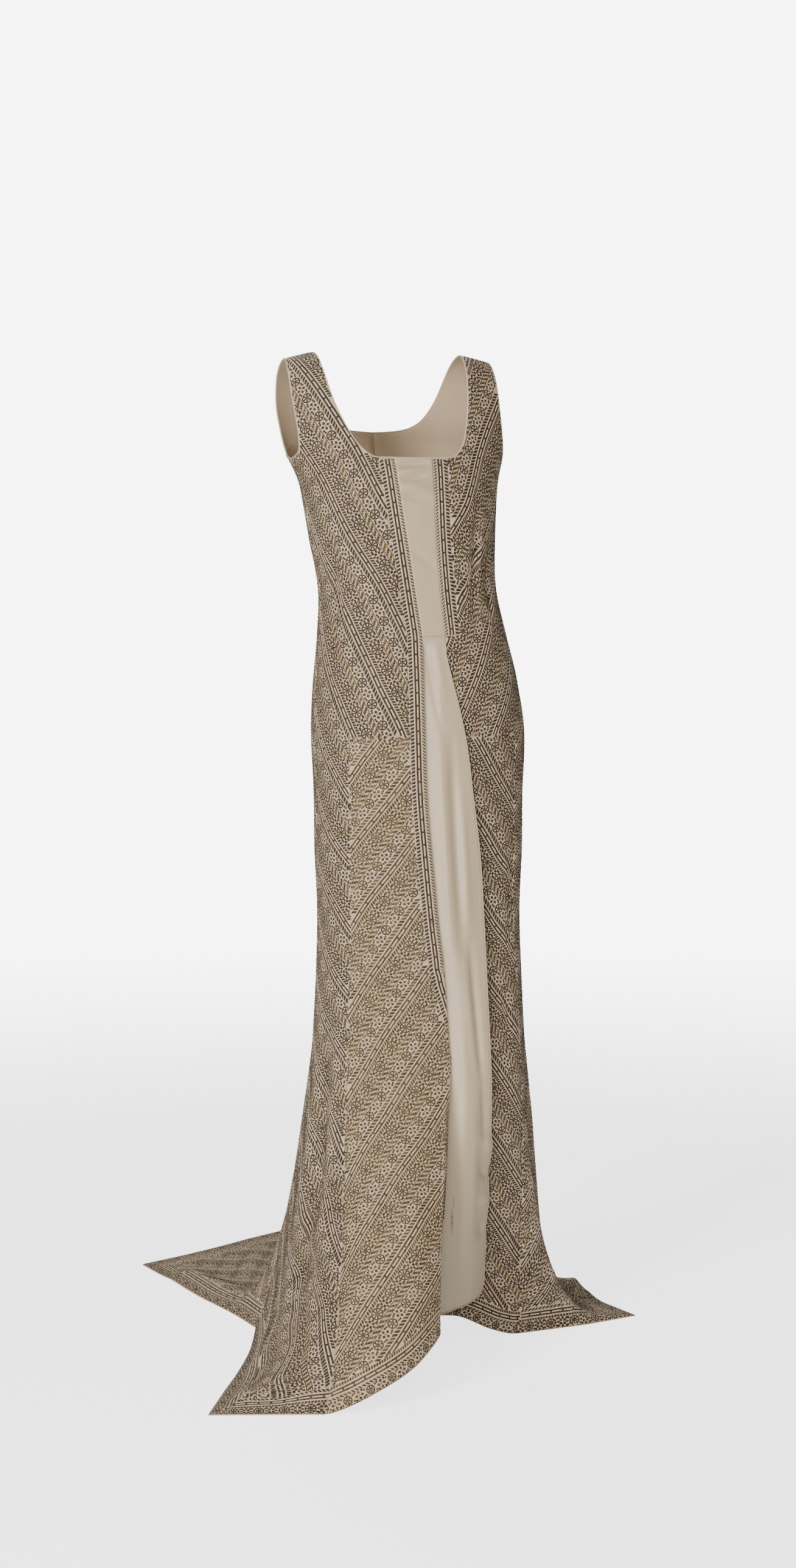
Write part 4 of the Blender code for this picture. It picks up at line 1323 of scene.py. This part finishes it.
def wheels_and_crosses(x, radius, rim, spokes, cross, reach):
    """A wheel and a cross by turns, with small beads on the ground between them."""
    beads = wheel(x, REPEAT / 4, radius, rim, spokes) + cross(x, REPEAT * 3 / 4)
    return beads + dots(x, REPEAT / 2, reach) + dots(x, 0.0, reach)


FIELD = (
    ladder(0.0, REPEAT, 2)
    + bar_row(7.9, 5.6, 3.7, 8, REPEAT, slant=-0.45)
    + wheels_and_crosses(19.2, 8.5, 12, 8, leaf_cross, 5.8)
    + cord_line(28.6, 1.4, 6, REPEAT) + zigzag(32.3, REPEAT, 4) + cord_line(36.0, 1.4, 6, REPEAT)
    + wheels_and_crosses(44.5, 7.3, 10, 6, diamond_cross, 4.6)
    + bar_row(55.8, 6.6, 5.0, 6, REPEAT, slant=0.8)
)
# Borders count x inward from their edge
FRONT_REPEAT = 37.2
FRONT_BORDER = (
    bar_row(2.7, 4.4, 2.7, 8, FRONT_REPEAT, slant=-0.85)
    + ladder(10.5, FRONT_REPEAT, 2)
    + bar_row(19.2, 6.0, 3.9, 7, FRONT_REPEAT, slant=0.35)
)
INSET_HEM = (
    bar_row(1.1, 1.8, 2.6, 9, REPEAT)
    + wheels_and_crosses(8.5, 6.4, 10, 6, diamond_cross, 4.2)
    + bar_row(17.6, 4.6, 4.4, 6, REPEAT, slant=0.9)
    + ladder(25.8, REPEAT, 2)
    + bar_row(33.9, 4.6, 3.6, 8, REPEAT, slant=-0.45)
)
INSET_HEM_WIDTH = 37.6 * MM
SIDE_HEM = (
    bar_row(1.1, 1.8, 2.6, 9, REPEAT)
    + wheels_and_crosses(9.7, 7.6, 12, 8, leaf_cross, 5.2)
    + bar_row(20.0, 4.2, 3.6, 8, REPEAT, slant=-0.45)
    + ladder(27.9, REPEAT, 2)
    + bar_row(36.1, 4.8, 4.4, 6, REPEAT, slant=0.9)
)
SIDE_HEM_WIDTH = 40.2 * MM


# %% Each chart as a mesh
def chart_mesh(name, beads):
    """The beads of a chart, with each bead's points and faces next to each other in the lists."""
    bm = bmesh.new()
    point_order = bm.verts.layers.int.new("bead")
    face_order = bm.faces.layers.int.new("bead")
    for number, bead in enumerate(beads):
        add_bead(bm, bead, point_order, face_order, number)
    bm.verts.sort(key=lambda vert: vert[point_order])
    bm.faces.sort(key=lambda face: face[face_order])
    mesh = mesh_from(name, bm)
    print(name, len(beads), "beads,", len(mesh.vertices) / len(beads), "points each")
    return mesh


field_tile = chart_mesh("field_tile", FIELD)
front_tile = chart_mesh("front_tile", FRONT_BORDER)
inset_hem_tile = chart_mesh("inset_hem_tile", INSET_HEM)
side_hem_tile = chart_mesh("side_hem_tile", SIDE_HEM)

# %% [markdown]
# ## Sewing the beads on
# Every copy of a chart is first laid on the flat cut, as on the embroiderer's frame. Each point then
# looks up the triangle of the flat sheet under it, and is carried to the same place on the draped
# one, a little along the normal. Beads that would cross a seam or the hem's own border are
# left out, as they were when the real panels were cut and sewn.

# %% From the flat cut to the draped sheet
INSIDE = 0.02 * MM
# A bead stays when its top is on the cloth and its foot reaches past a seam by no more than this
OVERHANG = 2.2 * MM
Facts = namedtuple("Facts", "tree triangles normals rows columns")


@lru_cache(maxsize=None)
def sheet_facts(name):
    """Triangles, normals, rows and columns of a flat sheet, and a search tree."""
    mesh = sheets[name].data
    flat = charts[name][0]
    mesh.calc_loop_triangles()
    triangles = read_each(mesh.loop_triangles, "vertices", 3, np.int32)
    tree = BVHTree.FromPolygons(np.column_stack([flat, np.zeros(len(flat))]).tolist(), triangles.tolist())
    normals = read_each(mesh.vertex_normals, "vector", 3)
    grid = [read_each(mesh.attributes[name].data, "value", kind=np.int32) for name in ("row", "column")]
    return Facts(tree, triangles, normals, *grid)


def edge_line(name, column=None):
    """Flat places of one column down a sheet, or of its hem, in order."""
    facts = sheet_facts(name)
    if column is None:
        used = np.flatnonzero(facts.rows == facts.rows.max())
        used = used[np.argsort(facts.columns[used])]
    else:
        used = np.flatnonzero(facts.columns == column)
        used = used[np.argsort(facts.rows[used])]
    return charts[name][0][used]


def distance_to(line, spots):
    """The distance of each flat spot from a line of points."""
    return np.min([near_line(spots, start, end)[1] for start, end in zip(line, line[1:])], axis=0)


def lift(name, spots, heights):
    """How far each flat spot is off the sheet, and where it comes to be on the draped one."""
    facts = sheet_facts(name)
    flat, places, area = charts[name]
    hits = [facts.tree.find_nearest((x, y, 0.0)) for x, y in spots.tolist()]
    away = np.array([hit[3] for hit in hits])
    corners = facts.triangles[[hit[2] for hit in hits]]
    a, b, c = flat[corners[:, 0]], flat[corners[:, 1]], flat[corners[:, 2]]
    one, two, spot = b - a, c - a, spots - a
    whole = one[:, 0] * two[:, 1] - one[:, 1] * two[:, 0]
    second = (spot[:, 0] * two[:, 1] - spot[:, 1] * two[:, 0]) / whole
    third = (one[:, 0] * spot[:, 1] - one[:, 1] * spot[:, 0]) / whole
    shares = np.column_stack([1.0 - second - third, second, third])[:, :, None]
    middle = (places[corners] * shares).sum(1)
    normal = (facts.normals[corners] * shares).sum(1)
    normal /= np.linalg.norm(normal, axis=1)[:, None]
    return away, middle + normal * heights[:, None]


# %% Where a small tuck bends the bands
Ease = namedtuple("Ease", "panel x y z to_x to_y to_z spread jump")
EASES = in_mm(Ease, [
    ("front_left", 107, -95, -200, 103, -93, -400, 7.5, 14),
    ("front_left", 132, -74, -250, 137, -78, -430, 6.5, 11),
    ("front_right", -104, -55, -220, -96, -50, -480, 10, -10),
    ("front_right", -150, -60, -1180, -150, -120, -1400, 25, 12),
    ("front_right", -120, -110, -1150, -130, -190, -1380, 20, -12),
    ("skirt_front_left", 172, -70, -700, 165, -80, -900, 9, -9),
    ("skirt_front_left", 158, -86, -930, 155, -91, -1060, 8, -8),
    ("front_left", 200, -30, -1200, 205, -29, -1390, 14, 12),
    ("back_left", 120, 60, -250, 110, 70, -420, 9, 10),
    ("back_right", -70, 70, -260, -60, 70, -420, 9, -10),
], plain=1)

# Hand work wanders a little, and more where the cloth spreads out low at the sides
WANDER = {"front_right": 0.020, "front_left": 0.012}
WANDER_EVERYWHERE = 0.0035
WANDER_SCALE = 12.0
# Without a seed noise_vector starts from the clock, and every run would sew another gown
WANDER_SEED = 5
noise.seed_set(WANDER_SEED)
WANDER_BELOW = (0.30, 0.70)
# The bands grow steeper towards the straps
FANS = {"front_right": 0.55, "front_left": -0.55}
FAN_ABOVE = 1.2


def eased(panel, spots):
    """The flat spots of a pattern, moved as the hand and the tucks of the cloth move them."""
    flat, places, area = charts[panel]
    moved = spots.copy()
    drift = [noise.noise_vector(Vector((x, y, 0.0)) * WANDER_SCALE)[:2] for x, y in spots.tolist()]
    low = np.clip((spots[:, 1] - WANDER_BELOW[0]) / (WANDER_BELOW[1] - WANDER_BELOW[0]), 0.0, 1.0)
    reach = WANDER_EVERYWHERE + WANDER.get(panel, 0.0) * (1.0 - low)
    moved += np.array(drift) * reach[:, None]
    above = np.maximum(spots[:, 1] - FAN_ABOVE, 0.0)
    moved[:, 0] += FANS.get(panel, 0.0) * above * above / 2
    for ease in EASES:
        if ease.panel != panel:
            continue
        ends = [ease[1:4], ease[4:7]]
        top, foot = [flat[np.linalg.norm(places - end, axis=1).argmin()] for end in ends]
        length = np.linalg.norm(top - foot)
        up = (top - foot) / length
        aside = (spots - foot) @ [up[1], -up[0]] / ease.spread
        share = np.clip((spots - foot) @ up / length, 0.0, 1.0)
        push = aside * np.exp(-aside * aside / 2) * np.sin(math.pi * share) * ease.jump
        moved += push[:, None] * up
    return moved


# %% Copies of a chart as one piece
BEAD_POINTS = 5
# How near the cloth a copy of the chart has to be, in its own diagonals
COPY_REACH = 0.7
beadings = {}


def bead_centres(spots):
    return spots.reshape(-1, BEAD_POINTS, spots.shape[1]).mean(1)


def sew(piece, panel, tile, spots, heights, kept):
    """Makes a piece from copies of a chart. kept says which beads may stay."""
    away, places = lift(panel, spots, heights)
    away = away.reshape(-1, BEAD_POINTS)
    tops = heights.reshape(-1, BEAD_POINTS).argmax(1)
    kept = kept & (away.max(1) < OVERHANG) & (away[np.arange(len(tops)), tops] < INSIDE)
    bm = bmesh.new()
    for _ in range(len(spots) // len(tile.vertices)):
        bm.from_mesh(tile)
    dropped = []
    for vert, place, stays in zip(bm.verts, places.tolist(), np.repeat(kept, BEAD_POINTS).tolist()):
        vert.co = place
        if not stays:
            dropped.append(vert)
    bmesh.ops.delete(bm, geom=dropped, context="VERTS")
    made = add_object(piece, mesh_from(piece, bm))
    beadings.setdefault(panel, []).append(made)
    print(piece, int(kept.sum()), "beads")


# %% Cover the panels
def sew_field(panel, turn, shift, band):
    """Covers a panel with the field chart, down to the band that its hem border needs."""
    flat = charts[panel][0]
    tree = sheet_facts(panel).tree
    turn = math.radians(turn)
    turned = np.array([[math.cos(turn), -math.sin(turn)], [math.sin(turn), math.cos(turn)]])
    step = np.array([FIELD_WIDTH, REPEAT]) * MM
    tile = read_each(field_tile.vertices, "co", 3)
    middle = flat.mean(0)
    reach = int(np.linalg.norm(np.ptp(flat, axis=0)) / step[1]) + 1
    across = range(-reach // 2, reach // 2 + 1)
    corners = [np.add([i, j], shift) * step for i in across for j in range(-reach, reach + 1)]
    centres = eased(panel, (np.array(corners) + step / 2) @ turned.T + middle)
    spots = []
    for corner, centre in zip(corners, centres):
        if tree.find_nearest((*centre, 0.0))[3] < np.linalg.norm(step) * COPY_REACH:
            spots.append((tile[:, :2] + corner) @ turned.T + middle)
    spots = eased(panel, np.concatenate(spots))
    heights = np.tile(tile[:, 2], len(spots) // len(tile))
    kept = distance_to(edge_line(panel), bead_centres(spots)) > band
    sew(panel + "_beads", panel, field_tile, spots, heights, kept)


FIELDS = {
    "front_right": (33.0, (0.0, 0.0), SIDE_HEM_WIDTH),
    "front_left": (-34.0, (0.3, 0.2), SIDE_HEM_WIDTH),
    "skirt_front_right": (-35.0, (0.0, 0.4), INSET_HEM_WIDTH),
    "skirt_front_left": (216.0, (0.5, 0.1), INSET_HEM_WIDTH),
    "back_right": (36.0, (0.2, 0.3), SIDE_HEM_WIDTH),
    "back_left": (-37.0, (0.6, 0.5), SIDE_HEM_WIDTH),
}
for panel, (turn, shift, band) in FIELDS.items():
    sew_field(panel, turn, shift, band)

# %% [markdown]
# ## The borders
# A border band is sewn along its edge and turns with it, so it can't be cut from the slanting field.
# Its chart is bent to the edge: y runs along the edge and x goes inward. At a corner of the hem two
# runs meet, and each keeps only the beads on its own side, as a mitred frame does.

# %% Borders that follow an edge
CORNER_TURN = 0.6
RUN_PAST = 60 * MM
MITRE = 0.97


def smooth_parts(line):
    """A line of points split where it turns sharply."""
    steps = np.diff(line, axis=0)
    headings = np.arctan2(steps[:, 1], steps[:, 0])
    turns = np.abs((np.diff(headings) + math.pi) % math.tau - math.pi)
    cuts = [0, *(np.flatnonzero(turns > CORNER_TURN) + 1).tolist(), len(line) - 1]
    return [line[start : end + 1] for start, end in zip(cuts, cuts[1:])]


def sew_border(piece, panel, line, tile, repeat, past=0.0):
    """Runs a border chart along an edge, x inward from it and y along it. A border that runs past
    the ends of its edge is cut to a mitre there."""
    centre = charts[panel][0].mean(0)
    points = read_each(tile.vertices, "co", 3)
    every = []
    for part in smooth_parts(line):
        if past:
            ends = [(part[0], part[0] - part[1]), (part[-1], part[-1] - part[-2])]
            first, last = [end + way / np.linalg.norm(way) * past for end, way in ends]
            part = np.vstack([first, part, last])
        along = np.concatenate([[0.0], np.cumsum(np.linalg.norm(np.diff(part, axis=0), axis=1))])
        heading = np.gradient(part, along, axis=0)
        heading /= np.linalg.norm(heading, axis=1)[:, None]
        inward = np.column_stack([-heading[:, 1], heading[:, 0]])
        middle = len(part) // 2
        if (centre - part[middle]) @ inward[middle] < 0:
            inward = -inward
        copies = max(1, round(along[-1] / repeat))
        pitch = along[-1] / copies
        for i in range(copies):
            run = (points[:, 1] / repeat + i) * pitch
            foot = np.column_stack([np.interp(run, along, part[:, k]) for k in (0, 1)])
            way = np.column_stack([np.interp(run, along, inward[:, k]) for k in (0, 1)])
            way /= np.linalg.norm(way, axis=1)[:, None]
            every.append(np.column_stack([foot + way * points[:, :1], points[:, 0]]))
    every = np.concatenate(every)
    spots, offsets = every[:, :2], bead_centres(every)[:, 2]
    heights = np.tile(points[:, 2], len(spots) // len(points))
    kept = np.ones(len(offsets), bool)
    if past:
        kept = distance_to(line, bead_centres(spots)) > offsets * MITRE
    sew(piece, panel, tile, spots, heights, kept)


# %% Sew the borders
for panel in ("border_right", "border_left"):
    edge = edge_line(panel, 0)
    sew_border(panel + "_beads", panel, edge, front_tile, FRONT_REPEAT * MM)
for panel in FIELDS:
    tile = inset_hem_tile if panel.startswith("skirt") else side_hem_tile
    sew_border(panel + "_hem_beads", panel, edge_line(panel), tile, REPEAT * MM, RUN_PAST)
for tile in (field_tile, front_tile, inset_hem_tile, side_hem_tile):
    bpy.data.meshes.remove(tile)

# %% [markdown]
# ## Bindings and piping
# The neckline and the armholes are edged with a narrow strip folded over the raw edge, which makes
# a small rounded roll. The free edge of the satin has a fine piping. Both are tubes: a grid whose
# long edges meet, wrapped round the line that they follow.


# %% A roll of cloth along a line
def make_roll(name, points, normals, across_radius, depth_radius, closed, sides=8):
    """A tube with an oval section. Its width lies in the sheet, and its depth along the normals."""
    count = len(points)
    bm = bmesh.new()
    cut = bm.loops.layers.uv.new("cut")
    spans = count if closed else count - 1
    bmesh.ops.create_grid(bm, x_segments=spans, y_segments=sides, size=0.5, calc_uvs=True)
    length = sum((b - a).length for a, b in zip(points, points[1:]))
    for face in bm.faces:
        for loop in face.loops:
            loop[cut].uv = (loop[cut].uv.x * length, loop[cut].uv.y * math.tau * across_radius)
    for vert in bm.verts:
        index = round((vert.co.x + 0.5) * spans) % count
        turn = math.tau * (vert.co.y + 0.5)
        after = points[(index + 1) % count] if closed else points[min(index + 1, count - 1)]
        before = points[index - 1] if closed else points[max(index - 1, 0)]
        along = (after - before).normalized()
        across = normals[index].cross(along).normalized()
        out = along.cross(across).normalized()
        vert.co = points[index] + across * math.cos(turn) * across_radius
        vert.co += out * math.sin(turn) * depth_radius
    bmesh.ops.remove_doubles(bm, verts=bm.verts[:], dist=1e-6)
    if not closed:
        bmesh.ops.holes_fill(bm, edges=[edge for edge in bm.edges if edge.is_boundary])
    bmesh.ops.recalc_face_normals(bm, faces=bm.faces[:])
    roll = add_object(name, mesh_from(name, bm))
    roll.data.shade_smooth()
    return roll


# %% The bindings
BINDING_REACH = 0.7 * MM
BINDING_RADII = (1.2 * MM, 1.3 * MM)


def side_skin(angle):
    return right_skin if angle <= 180.0 else left_skin


def make_binding(name, loop):
    points, normals = [], []
    for angle, drop in loop:
        skin = side_skin(angle)
        points.append(skin(angle, drop))
        normals.append(normal_of(skin, angle, drop))
    count = len(points)
    moved = []
    for i in range(count):
        along = (points[(i + 1) % count] - points[i - 1]).normalized()
        open_way = normals[i].cross(along).normalized()
        middle = points[i] + open_way * BINDING_REACH - normals[i] * WALLS["beaded"] / 2
        moved.append(middle + Vector((0.0, 0.0, FLOOR)))
    return make_roll(name, moved, normals, *BINDING_RADII, True)


corner_row = NECK_CORNER * ROW_STEPS
neck = bodice_rows(FRONT_LINES, border_angle, FRONT_COLUMNS)[: corner_row + 1]
left_neck = mirrored(bodice_rows(FRONT_LINES, left_neck_seam, FRONT_COLUMNS)[: corner_row + 1])
back = bodice_rows(BACK_LINES, centre_back, BACK_COLUMNS, back=True)[: corner_row + 1]
top_row = [(angle + 360.0, drop) for angle, drop in insert_rows()[0]][::-1]
loop = [row[0] for row in neck]
top = INSERT[0].drop
loop += level_row(border_angle(top), border_inner_angle(top), top, BORDER_COLUMNS // 2)[1:]
loop += top_row[1:-1]
loop += left_border_rows()[0][::2]
loop += [row[0] for row in left_neck][::-1][1:]
loop += [row[0] for row in mirrored(back)][1:]
loop += [row[0] for row in back][::-1][1:-1]
rolls = [make_binding("neck_binding_roll", loop)]
arm_row = ARM_CORNER * ROW_STEPS
loop = [row[-1] for row in back[: arm_row + 1]] + [row[-1] for row in neck[: arm_row + 1]][::-1][1:-1]
rolls.append(make_binding("arm_binding_right_roll", loop))
loop = [(360.0 - angle, drop) for angle, drop in loop][::-1]
rolls.append(make_binding("arm_binding_left_roll", loop))

# %% The piped edge of the satin
PIPING_RADII = (0.8 * MM, 0.8 * MM)
STITCH_RADII = (0.35 * MM, 0.20 * MM)
STITCH_INSET = 2
PIPING_START = 2


def satin_edge(inset):
    """Points and normals down the free edge of the satin and along its hem, some lines in."""
    mesh = sheets["satin_panel"].data
    grid = {}
    rows, columns = mesh.attributes["row"].data, mesh.attributes["column"].data
    for vert, row, column in zip(mesh.vertices, rows, columns):
        grid[row.value, column.value] = vert
    last_row = max(row for row, column in grid) - inset
    last_column = SATIN_COLUMNS - inset
    run = [grid[row, last_column] for row in range(PIPING_START, last_row)]
    run += [grid[last_row, column] for column in range(last_column, -1, -1)]
    return [vert.co.copy() for vert in run], [vert.normal.copy() for vert in run]


piping = make_roll("satin_piping", *satin_edge(0), *PIPING_RADII, False)
stitching = make_roll("satin_stitching", *satin_edge(STITCH_INSET), *STITCH_RADII, False)
print("points of the rolls:", [len(roll.data.vertices) for roll in (*rolls, piping, stitching)])

# %% [markdown]
# ## Finishes
# Glass beads are very small here, so one plain colour with a soft shine is enough for each shade,
# and the shades are dealt out at random as from a mixed bag. Silk ground, satin and binding share one
# weave, one slow change of tone and one kind of mark. Each is a node group, built once.

# %% Bead shades
Shade = namedtuple("Shade", "name tint colour roughness metallic")
SHADES = [
    Shade("bead_plum", DARK, (0.034, 0.022, 0.014), 0.45, 0.0),
    Shade("bead_umber", DARK, (0.044, 0.028, 0.014), 0.45, 0.0),
    Shade("bead_bronze", DARK, (0.062, 0.041, 0.019), 0.40, 0.2),
    Shade("bead_olive", DARK, (0.084, 0.057, 0.024), 0.40, 0.1),
    Shade("bead_tawny", DARK, (0.120, 0.080, 0.035), 0.40, 0.1),
    Shade("bead_brown", GOLD, (0.080, 0.050, 0.022), 0.40, 0.0),
    Shade("bead_gold", GOLD, (0.165, 0.106, 0.042), 0.35, 0.3),
    Shade("bead_pearl", CREAM, (0.620, 0.490, 0.330), 0.35, 0.0),
    Shade("bead_cream", CREAM, (0.720, 0.580, 0.400), 0.40, 0.0),
    # A painted glint: warm light caught on the beads, painted into this amber colour
    Shade("bead_painted_glint", GLINT, (0.330, 0.140, 0.035), 0.35, 0.2),
]
BEAD_SPECULAR = 0.2
bead_materials = []
for shade in SHADES:
    material, shader = new_material(shade.name, {
        "Base Color": (*shade.colour, 1.0), "Roughness": shade.roughness,
        "Metallic": shade.metallic, "Specular IOR Level": BEAD_SPECULAR,
    })
    bead_materials.append(material)

# %% Deal the shades out
# Which of the dark shades a panel's bag held, from the deepest. The right inset is more golden
# The right inset's lighter bag is partly its beads' own colour and partly painted light where it is lit, and
# the left inset's deepest bag is partly painted shade on its shaded side
BAGS = {"skirt_front_right": (2, 5), "back_right": (0, 4), "back_left": (0, 4)}
USUAL_BAG = (0, 3)
BEAD_FACES = 5
DEALER_SEED = 11
dealer = np.random.default_rng(DEALER_SEED)
tint_of = np.array([shade.tint for shade in SHADES])
for panel, pieces in beadings.items():
    first = np.array([np.flatnonzero(tint_of == tint)[0] for tint in (DARK, GOLD, CREAM)])
    count = np.array([(tint_of == tint).sum() for tint in (DARK, GOLD, CREAM)])
    low, high = BAGS.get(panel, USUAL_BAG)
    first[DARK], count[DARK] = low, high - low
    for piece in pieces:
        mesh = piece.data
        tints = read_each(mesh.polygons, "material_index", kind=np.int32)[::BEAD_FACES]
        shades = first[tints] + dealer.integers(0, count[tints])
        for material in bead_materials:
            mesh.materials.append(material)
        mesh.polygons.foreach_set("material_index", np.repeat(shades, BEAD_FACES).astype(np.int32))
print(len(SHADES), "shades of bead")


# %% Glints
# Amber stones near these points, where the photograph has a warm glint
# The amber of these beads is a painted glint: light caught on them, painted into their colour.
Glint = namedtuple("Glint", "x y z reach")
GLINTS = in_mm(Glint, [
    (26, -108, -640, 7),
    (36, -108, -825, 5),
    (-48, -100, -905, 6),
])
glint_shade = [shade.tint for shade in SHADES].index(GLINT)
for panel in ("border_right", "skirt_front_right"):
    mesh = beadings[panel][0].data
    for face in mesh.polygons:
        if SHADES[face.material_index].tint == DARK:
            continue
        for glint in GLINTS:
            if (face.center - Vector(glint[:3])).length < glint.reach:
                face.material_index = glint_shade
print(len(GLINTS), "glints")


# %% [markdown]
# ## Shader groups of the cloth
# Real silk is never one flat colour, and its threads catch the light. One group changes the tone
# slowly, one makes the weave from the flat cut, and one paints a small mark with a ragged edge. They
# put out a colour, a height and a mask, and each cloth gives them its own values.


# %% Slow change of tone
def new_group(name, inputs, output):
    """A node group whose inputs are (name, socket type, value), with one output."""
    group = bpy.data.node_groups.new(name, "ShaderNodeTree")
    for label, kind, value in inputs:
        socket = group.interface.new_socket(name=label, in_out="INPUT", socket_type=kind)
        socket.default_value = value
    group.interface.new_socket(name=output[0], in_out="OUTPUT", socket_type=output[1])
    given = add_node(group, "NodeGroupInput").outputs
    return group, given, add_node(group, "NodeGroupOutput")


def blend_colours(tree, share, first, second):
    inputs = {"Factor": share, 6: first, 7: second}
    return add_node(tree, "ShaderNodeMix", inputs, data_type="RGBA").outputs[2]


tone_group, given, result = new_group(
    "cloth_tone",
    [
        ("Light", "NodeSocketColor", (0.6, 0.5, 0.4, 1.0)),
        ("Deep", "NodeSocketColor", (0.5, 0.4, 0.3, 1.0)),
        ("Patches", "NodeSocketVector", (12.0, 12.0, 5.0)),
        ("Fibres", "NodeSocketFloat", 900.0),
    ],
    ("Color", "NodeSocketColor"),
)
place = add_node(tone_group, "ShaderNodeTexCoord").outputs["Object"]
stretched = vector_maths(tone_group, "MULTIPLY", place, given["Patches"])
patches = add_node(tone_group, "ShaderNodeTexNoise", {"Vector": stretched, "Scale": 1.0, "Detail": 3.0})
fibres = add_node(
    tone_group, "ShaderNodeTexNoise", {"Vector": place, "Scale": given["Fibres"], "Detail": 1.0}
)
slow = maths(tone_group, "MULTIPLY_ADD", patches.outputs["Fac"], 1.8, -0.5)
fine = maths(tone_group, "MULTIPLY_ADD", fibres.outputs["Fac"], 0.6, -0.2)
share = maths(tone_group, "ADD", slow, fine, clamp=True)
feed(tone_group, result, {"Color": blend_colours(tone_group, share, given["Light"], given["Deep"])})

# %% Weave
weave_group, given, result = new_group(
    "weave", [("Threads", "NodeSocketFloat", 2500.0)], ("Height", "NodeSocketFloat")
)
cut_map = add_node(weave_group, "ShaderNodeUVMap", uv_map="cut").outputs["UV"]
parts = add_node(weave_group, "ShaderNodeSeparateXYZ", {"Vector": cut_map}).outputs
waves = []
for axis in ("X", "Y"):
    turns = maths(weave_group, "MULTIPLY", parts[axis], given["Threads"])
    waves.append(maths(weave_group, "SINE", turns))
feed(weave_group, result, {"Height": maths(weave_group, "MULTIPLY", *waves)})

# %% Marks
RAGGED_SCALE = 220.0
mark_group, given, result = new_group(
    "mark",
    [
        ("Centre", "NodeSocketVector", (0.0, 0.0, 0.0)),
        ("Reach", "NodeSocketVector", (0.01, 0.01, 0.01)),
        ("Strength", "NodeSocketFloat", 1.0),
    ],
    ("Mask", "NodeSocketFloat"),
)
place = add_node(mark_group, "ShaderNodeTexCoord").outputs["Object"]
offset = vector_maths(mark_group, "SUBTRACT", place, given["Centre"])
away = vector_maths(mark_group, "LENGTH", vector_maths(mark_group, "DIVIDE", offset, given["Reach"]))
ragged = add_node(mark_group, "ShaderNodeTexNoise", {"Vector": place, "Scale": RAGGED_SCALE})
fade = soft_fade(mark_group, maths(mark_group, "ADD", away, ragged.outputs["Fac"]), 0.5, 1.5)
feed(mark_group, result, {"Mask": maths(mark_group, "MULTIPLY", fade, given["Strength"])})


# %% Cloth materials
def add_group(tree, group, **inputs):
    return add_node(tree, "ShaderNodeGroup", inputs, node_tree=group).outputs[0]


def cloth_material(name, light, deep, patches, threads, weave_depth, marks, **fixed):
    """A cloth with a slow change of tone, its weave, and marks of (centre, reach, strength, colour)."""
    fixed = {label.replace("_", " "): value for label, value in fixed.items()}
    material, shader = new_material(name, fixed)
    tree = material.node_tree
    colour = add_group(tree, tone_group, Light=(*light, 1.0), Deep=(*deep, 1.0), Patches=patches)
    for centre, reach, strength, stain in marks:
        mask = add_group(tree, mark_group, Centre=centre, Reach=reach, Strength=strength)
        colour = blend_colours(tree, mask, colour, (*stain, 1.0))
    weave = {"Distance": weave_depth, "Height": add_group(tree, weave_group, Threads=threads)}
    bump = add_node(tree, "ShaderNodeBump", weave)
    feed(tree, shader, {"Base Color": colour, "Normal": bump.outputs["Normal"]})
    return material


# %% Silk, satin and binding
BROWN = (0.20, 0.10, 0.04)
TAN = (0.36, 0.23, 0.12)
SATIN_MARKS = [
    ((0.058, -0.138, -1.262), (0.0035, 0.02, 0.030), 0.8, BROWN),
    ((0.061, -0.134, -1.235), (0.0030, 0.02, 0.014), 0.5, BROWN),
    ((0.060, -0.122, -1.060), (0.0060, 0.02, 0.100), 0.4, TAN),
    ((0.042, -0.111, -0.586), (0.0012, 0.02, 0.0012), 0.9, BROWN),
]
SILK_MARKS = [
    ((-0.060, -0.105, -0.900), (0.05, 0.05, 0.10), 0.25, TAN),
    ((0.340, 0.050, -1.470), (0.08, 0.08, 0.02), 0.30, TAN),
    ((-0.240, 0.480, -1.478), (0.10, 0.12, 0.02), 0.30, TAN),
]
silk = cloth_material(
    "silk_ground", (0.60, 0.455, 0.298), (0.50, 0.370, 0.236), (14.0, 14.0, 8.0), 5200.0, 0.00006,
    SILK_MARKS, Roughness=0.75, Sheen_Weight=0.1,
)
satin = cloth_material(
    "satin", (0.58, 0.452, 0.292), (0.50, 0.385, 0.242), (26.0, 26.0, 4.0), 9000.0, 0.00002,
    SATIN_MARKS, Roughness=0.30, Specular_IOR_Level=0.7, Sheen_Weight=0.1,
)
binding = cloth_material(
    "cream_binding", (0.62, 0.495, 0.350), (0.54, 0.425, 0.290), (14.0, 14.0, 8.0), 5200.0, 0.00003,
    [], Roughness=0.5, Sheen_Weight=0.1,
)
print("cloths:", [cloth.name for cloth in (silk, satin, binding)])

# %% [markdown]
# ## Handing the pieces over
# Every sheet gets its wall, its material and its name, and the solid that it stands in for is
# hidden. Its beads or its piping go with it, so that they stay on their cloth.

beadings["satin_panel"] = [piping, stitching]
for piece in (piping, stitching):
    piece.data.materials.append(satin)
for name, sheet in sheets.items():
    kind = "satin" if name.startswith("satin") else "beaded"
    sheet.data.materials.append(satin if kind == "satin" else silk)
    wall = sheet.modifiers.new("wall", "SOLIDIFY")
    wall.thickness = WALLS[kind]
    wall.offset = -1.0
    sheet.name = name + "_cloth"
    sheet.data.name = name + "_cloth"
    pieces = beadings.get(name, [])
    for piece in [sheet, *pieces]:
        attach(piece, "root")
    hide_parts(name)
    flat, places, area = charts[name]
    cut_box(flat)
    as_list(pieces)
for roll, name in zip(rolls, ("neck_binding", "arm_binding_right", "arm_binding_left")):
    roll.data.materials.append(binding)
    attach(roll, "root")
    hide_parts(name)

# %% Finish
boxes = {"cad": cad_box, "visual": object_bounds()}
{key: [list(map(float, corner)) for corner in box] for key, box in boxes.items()}
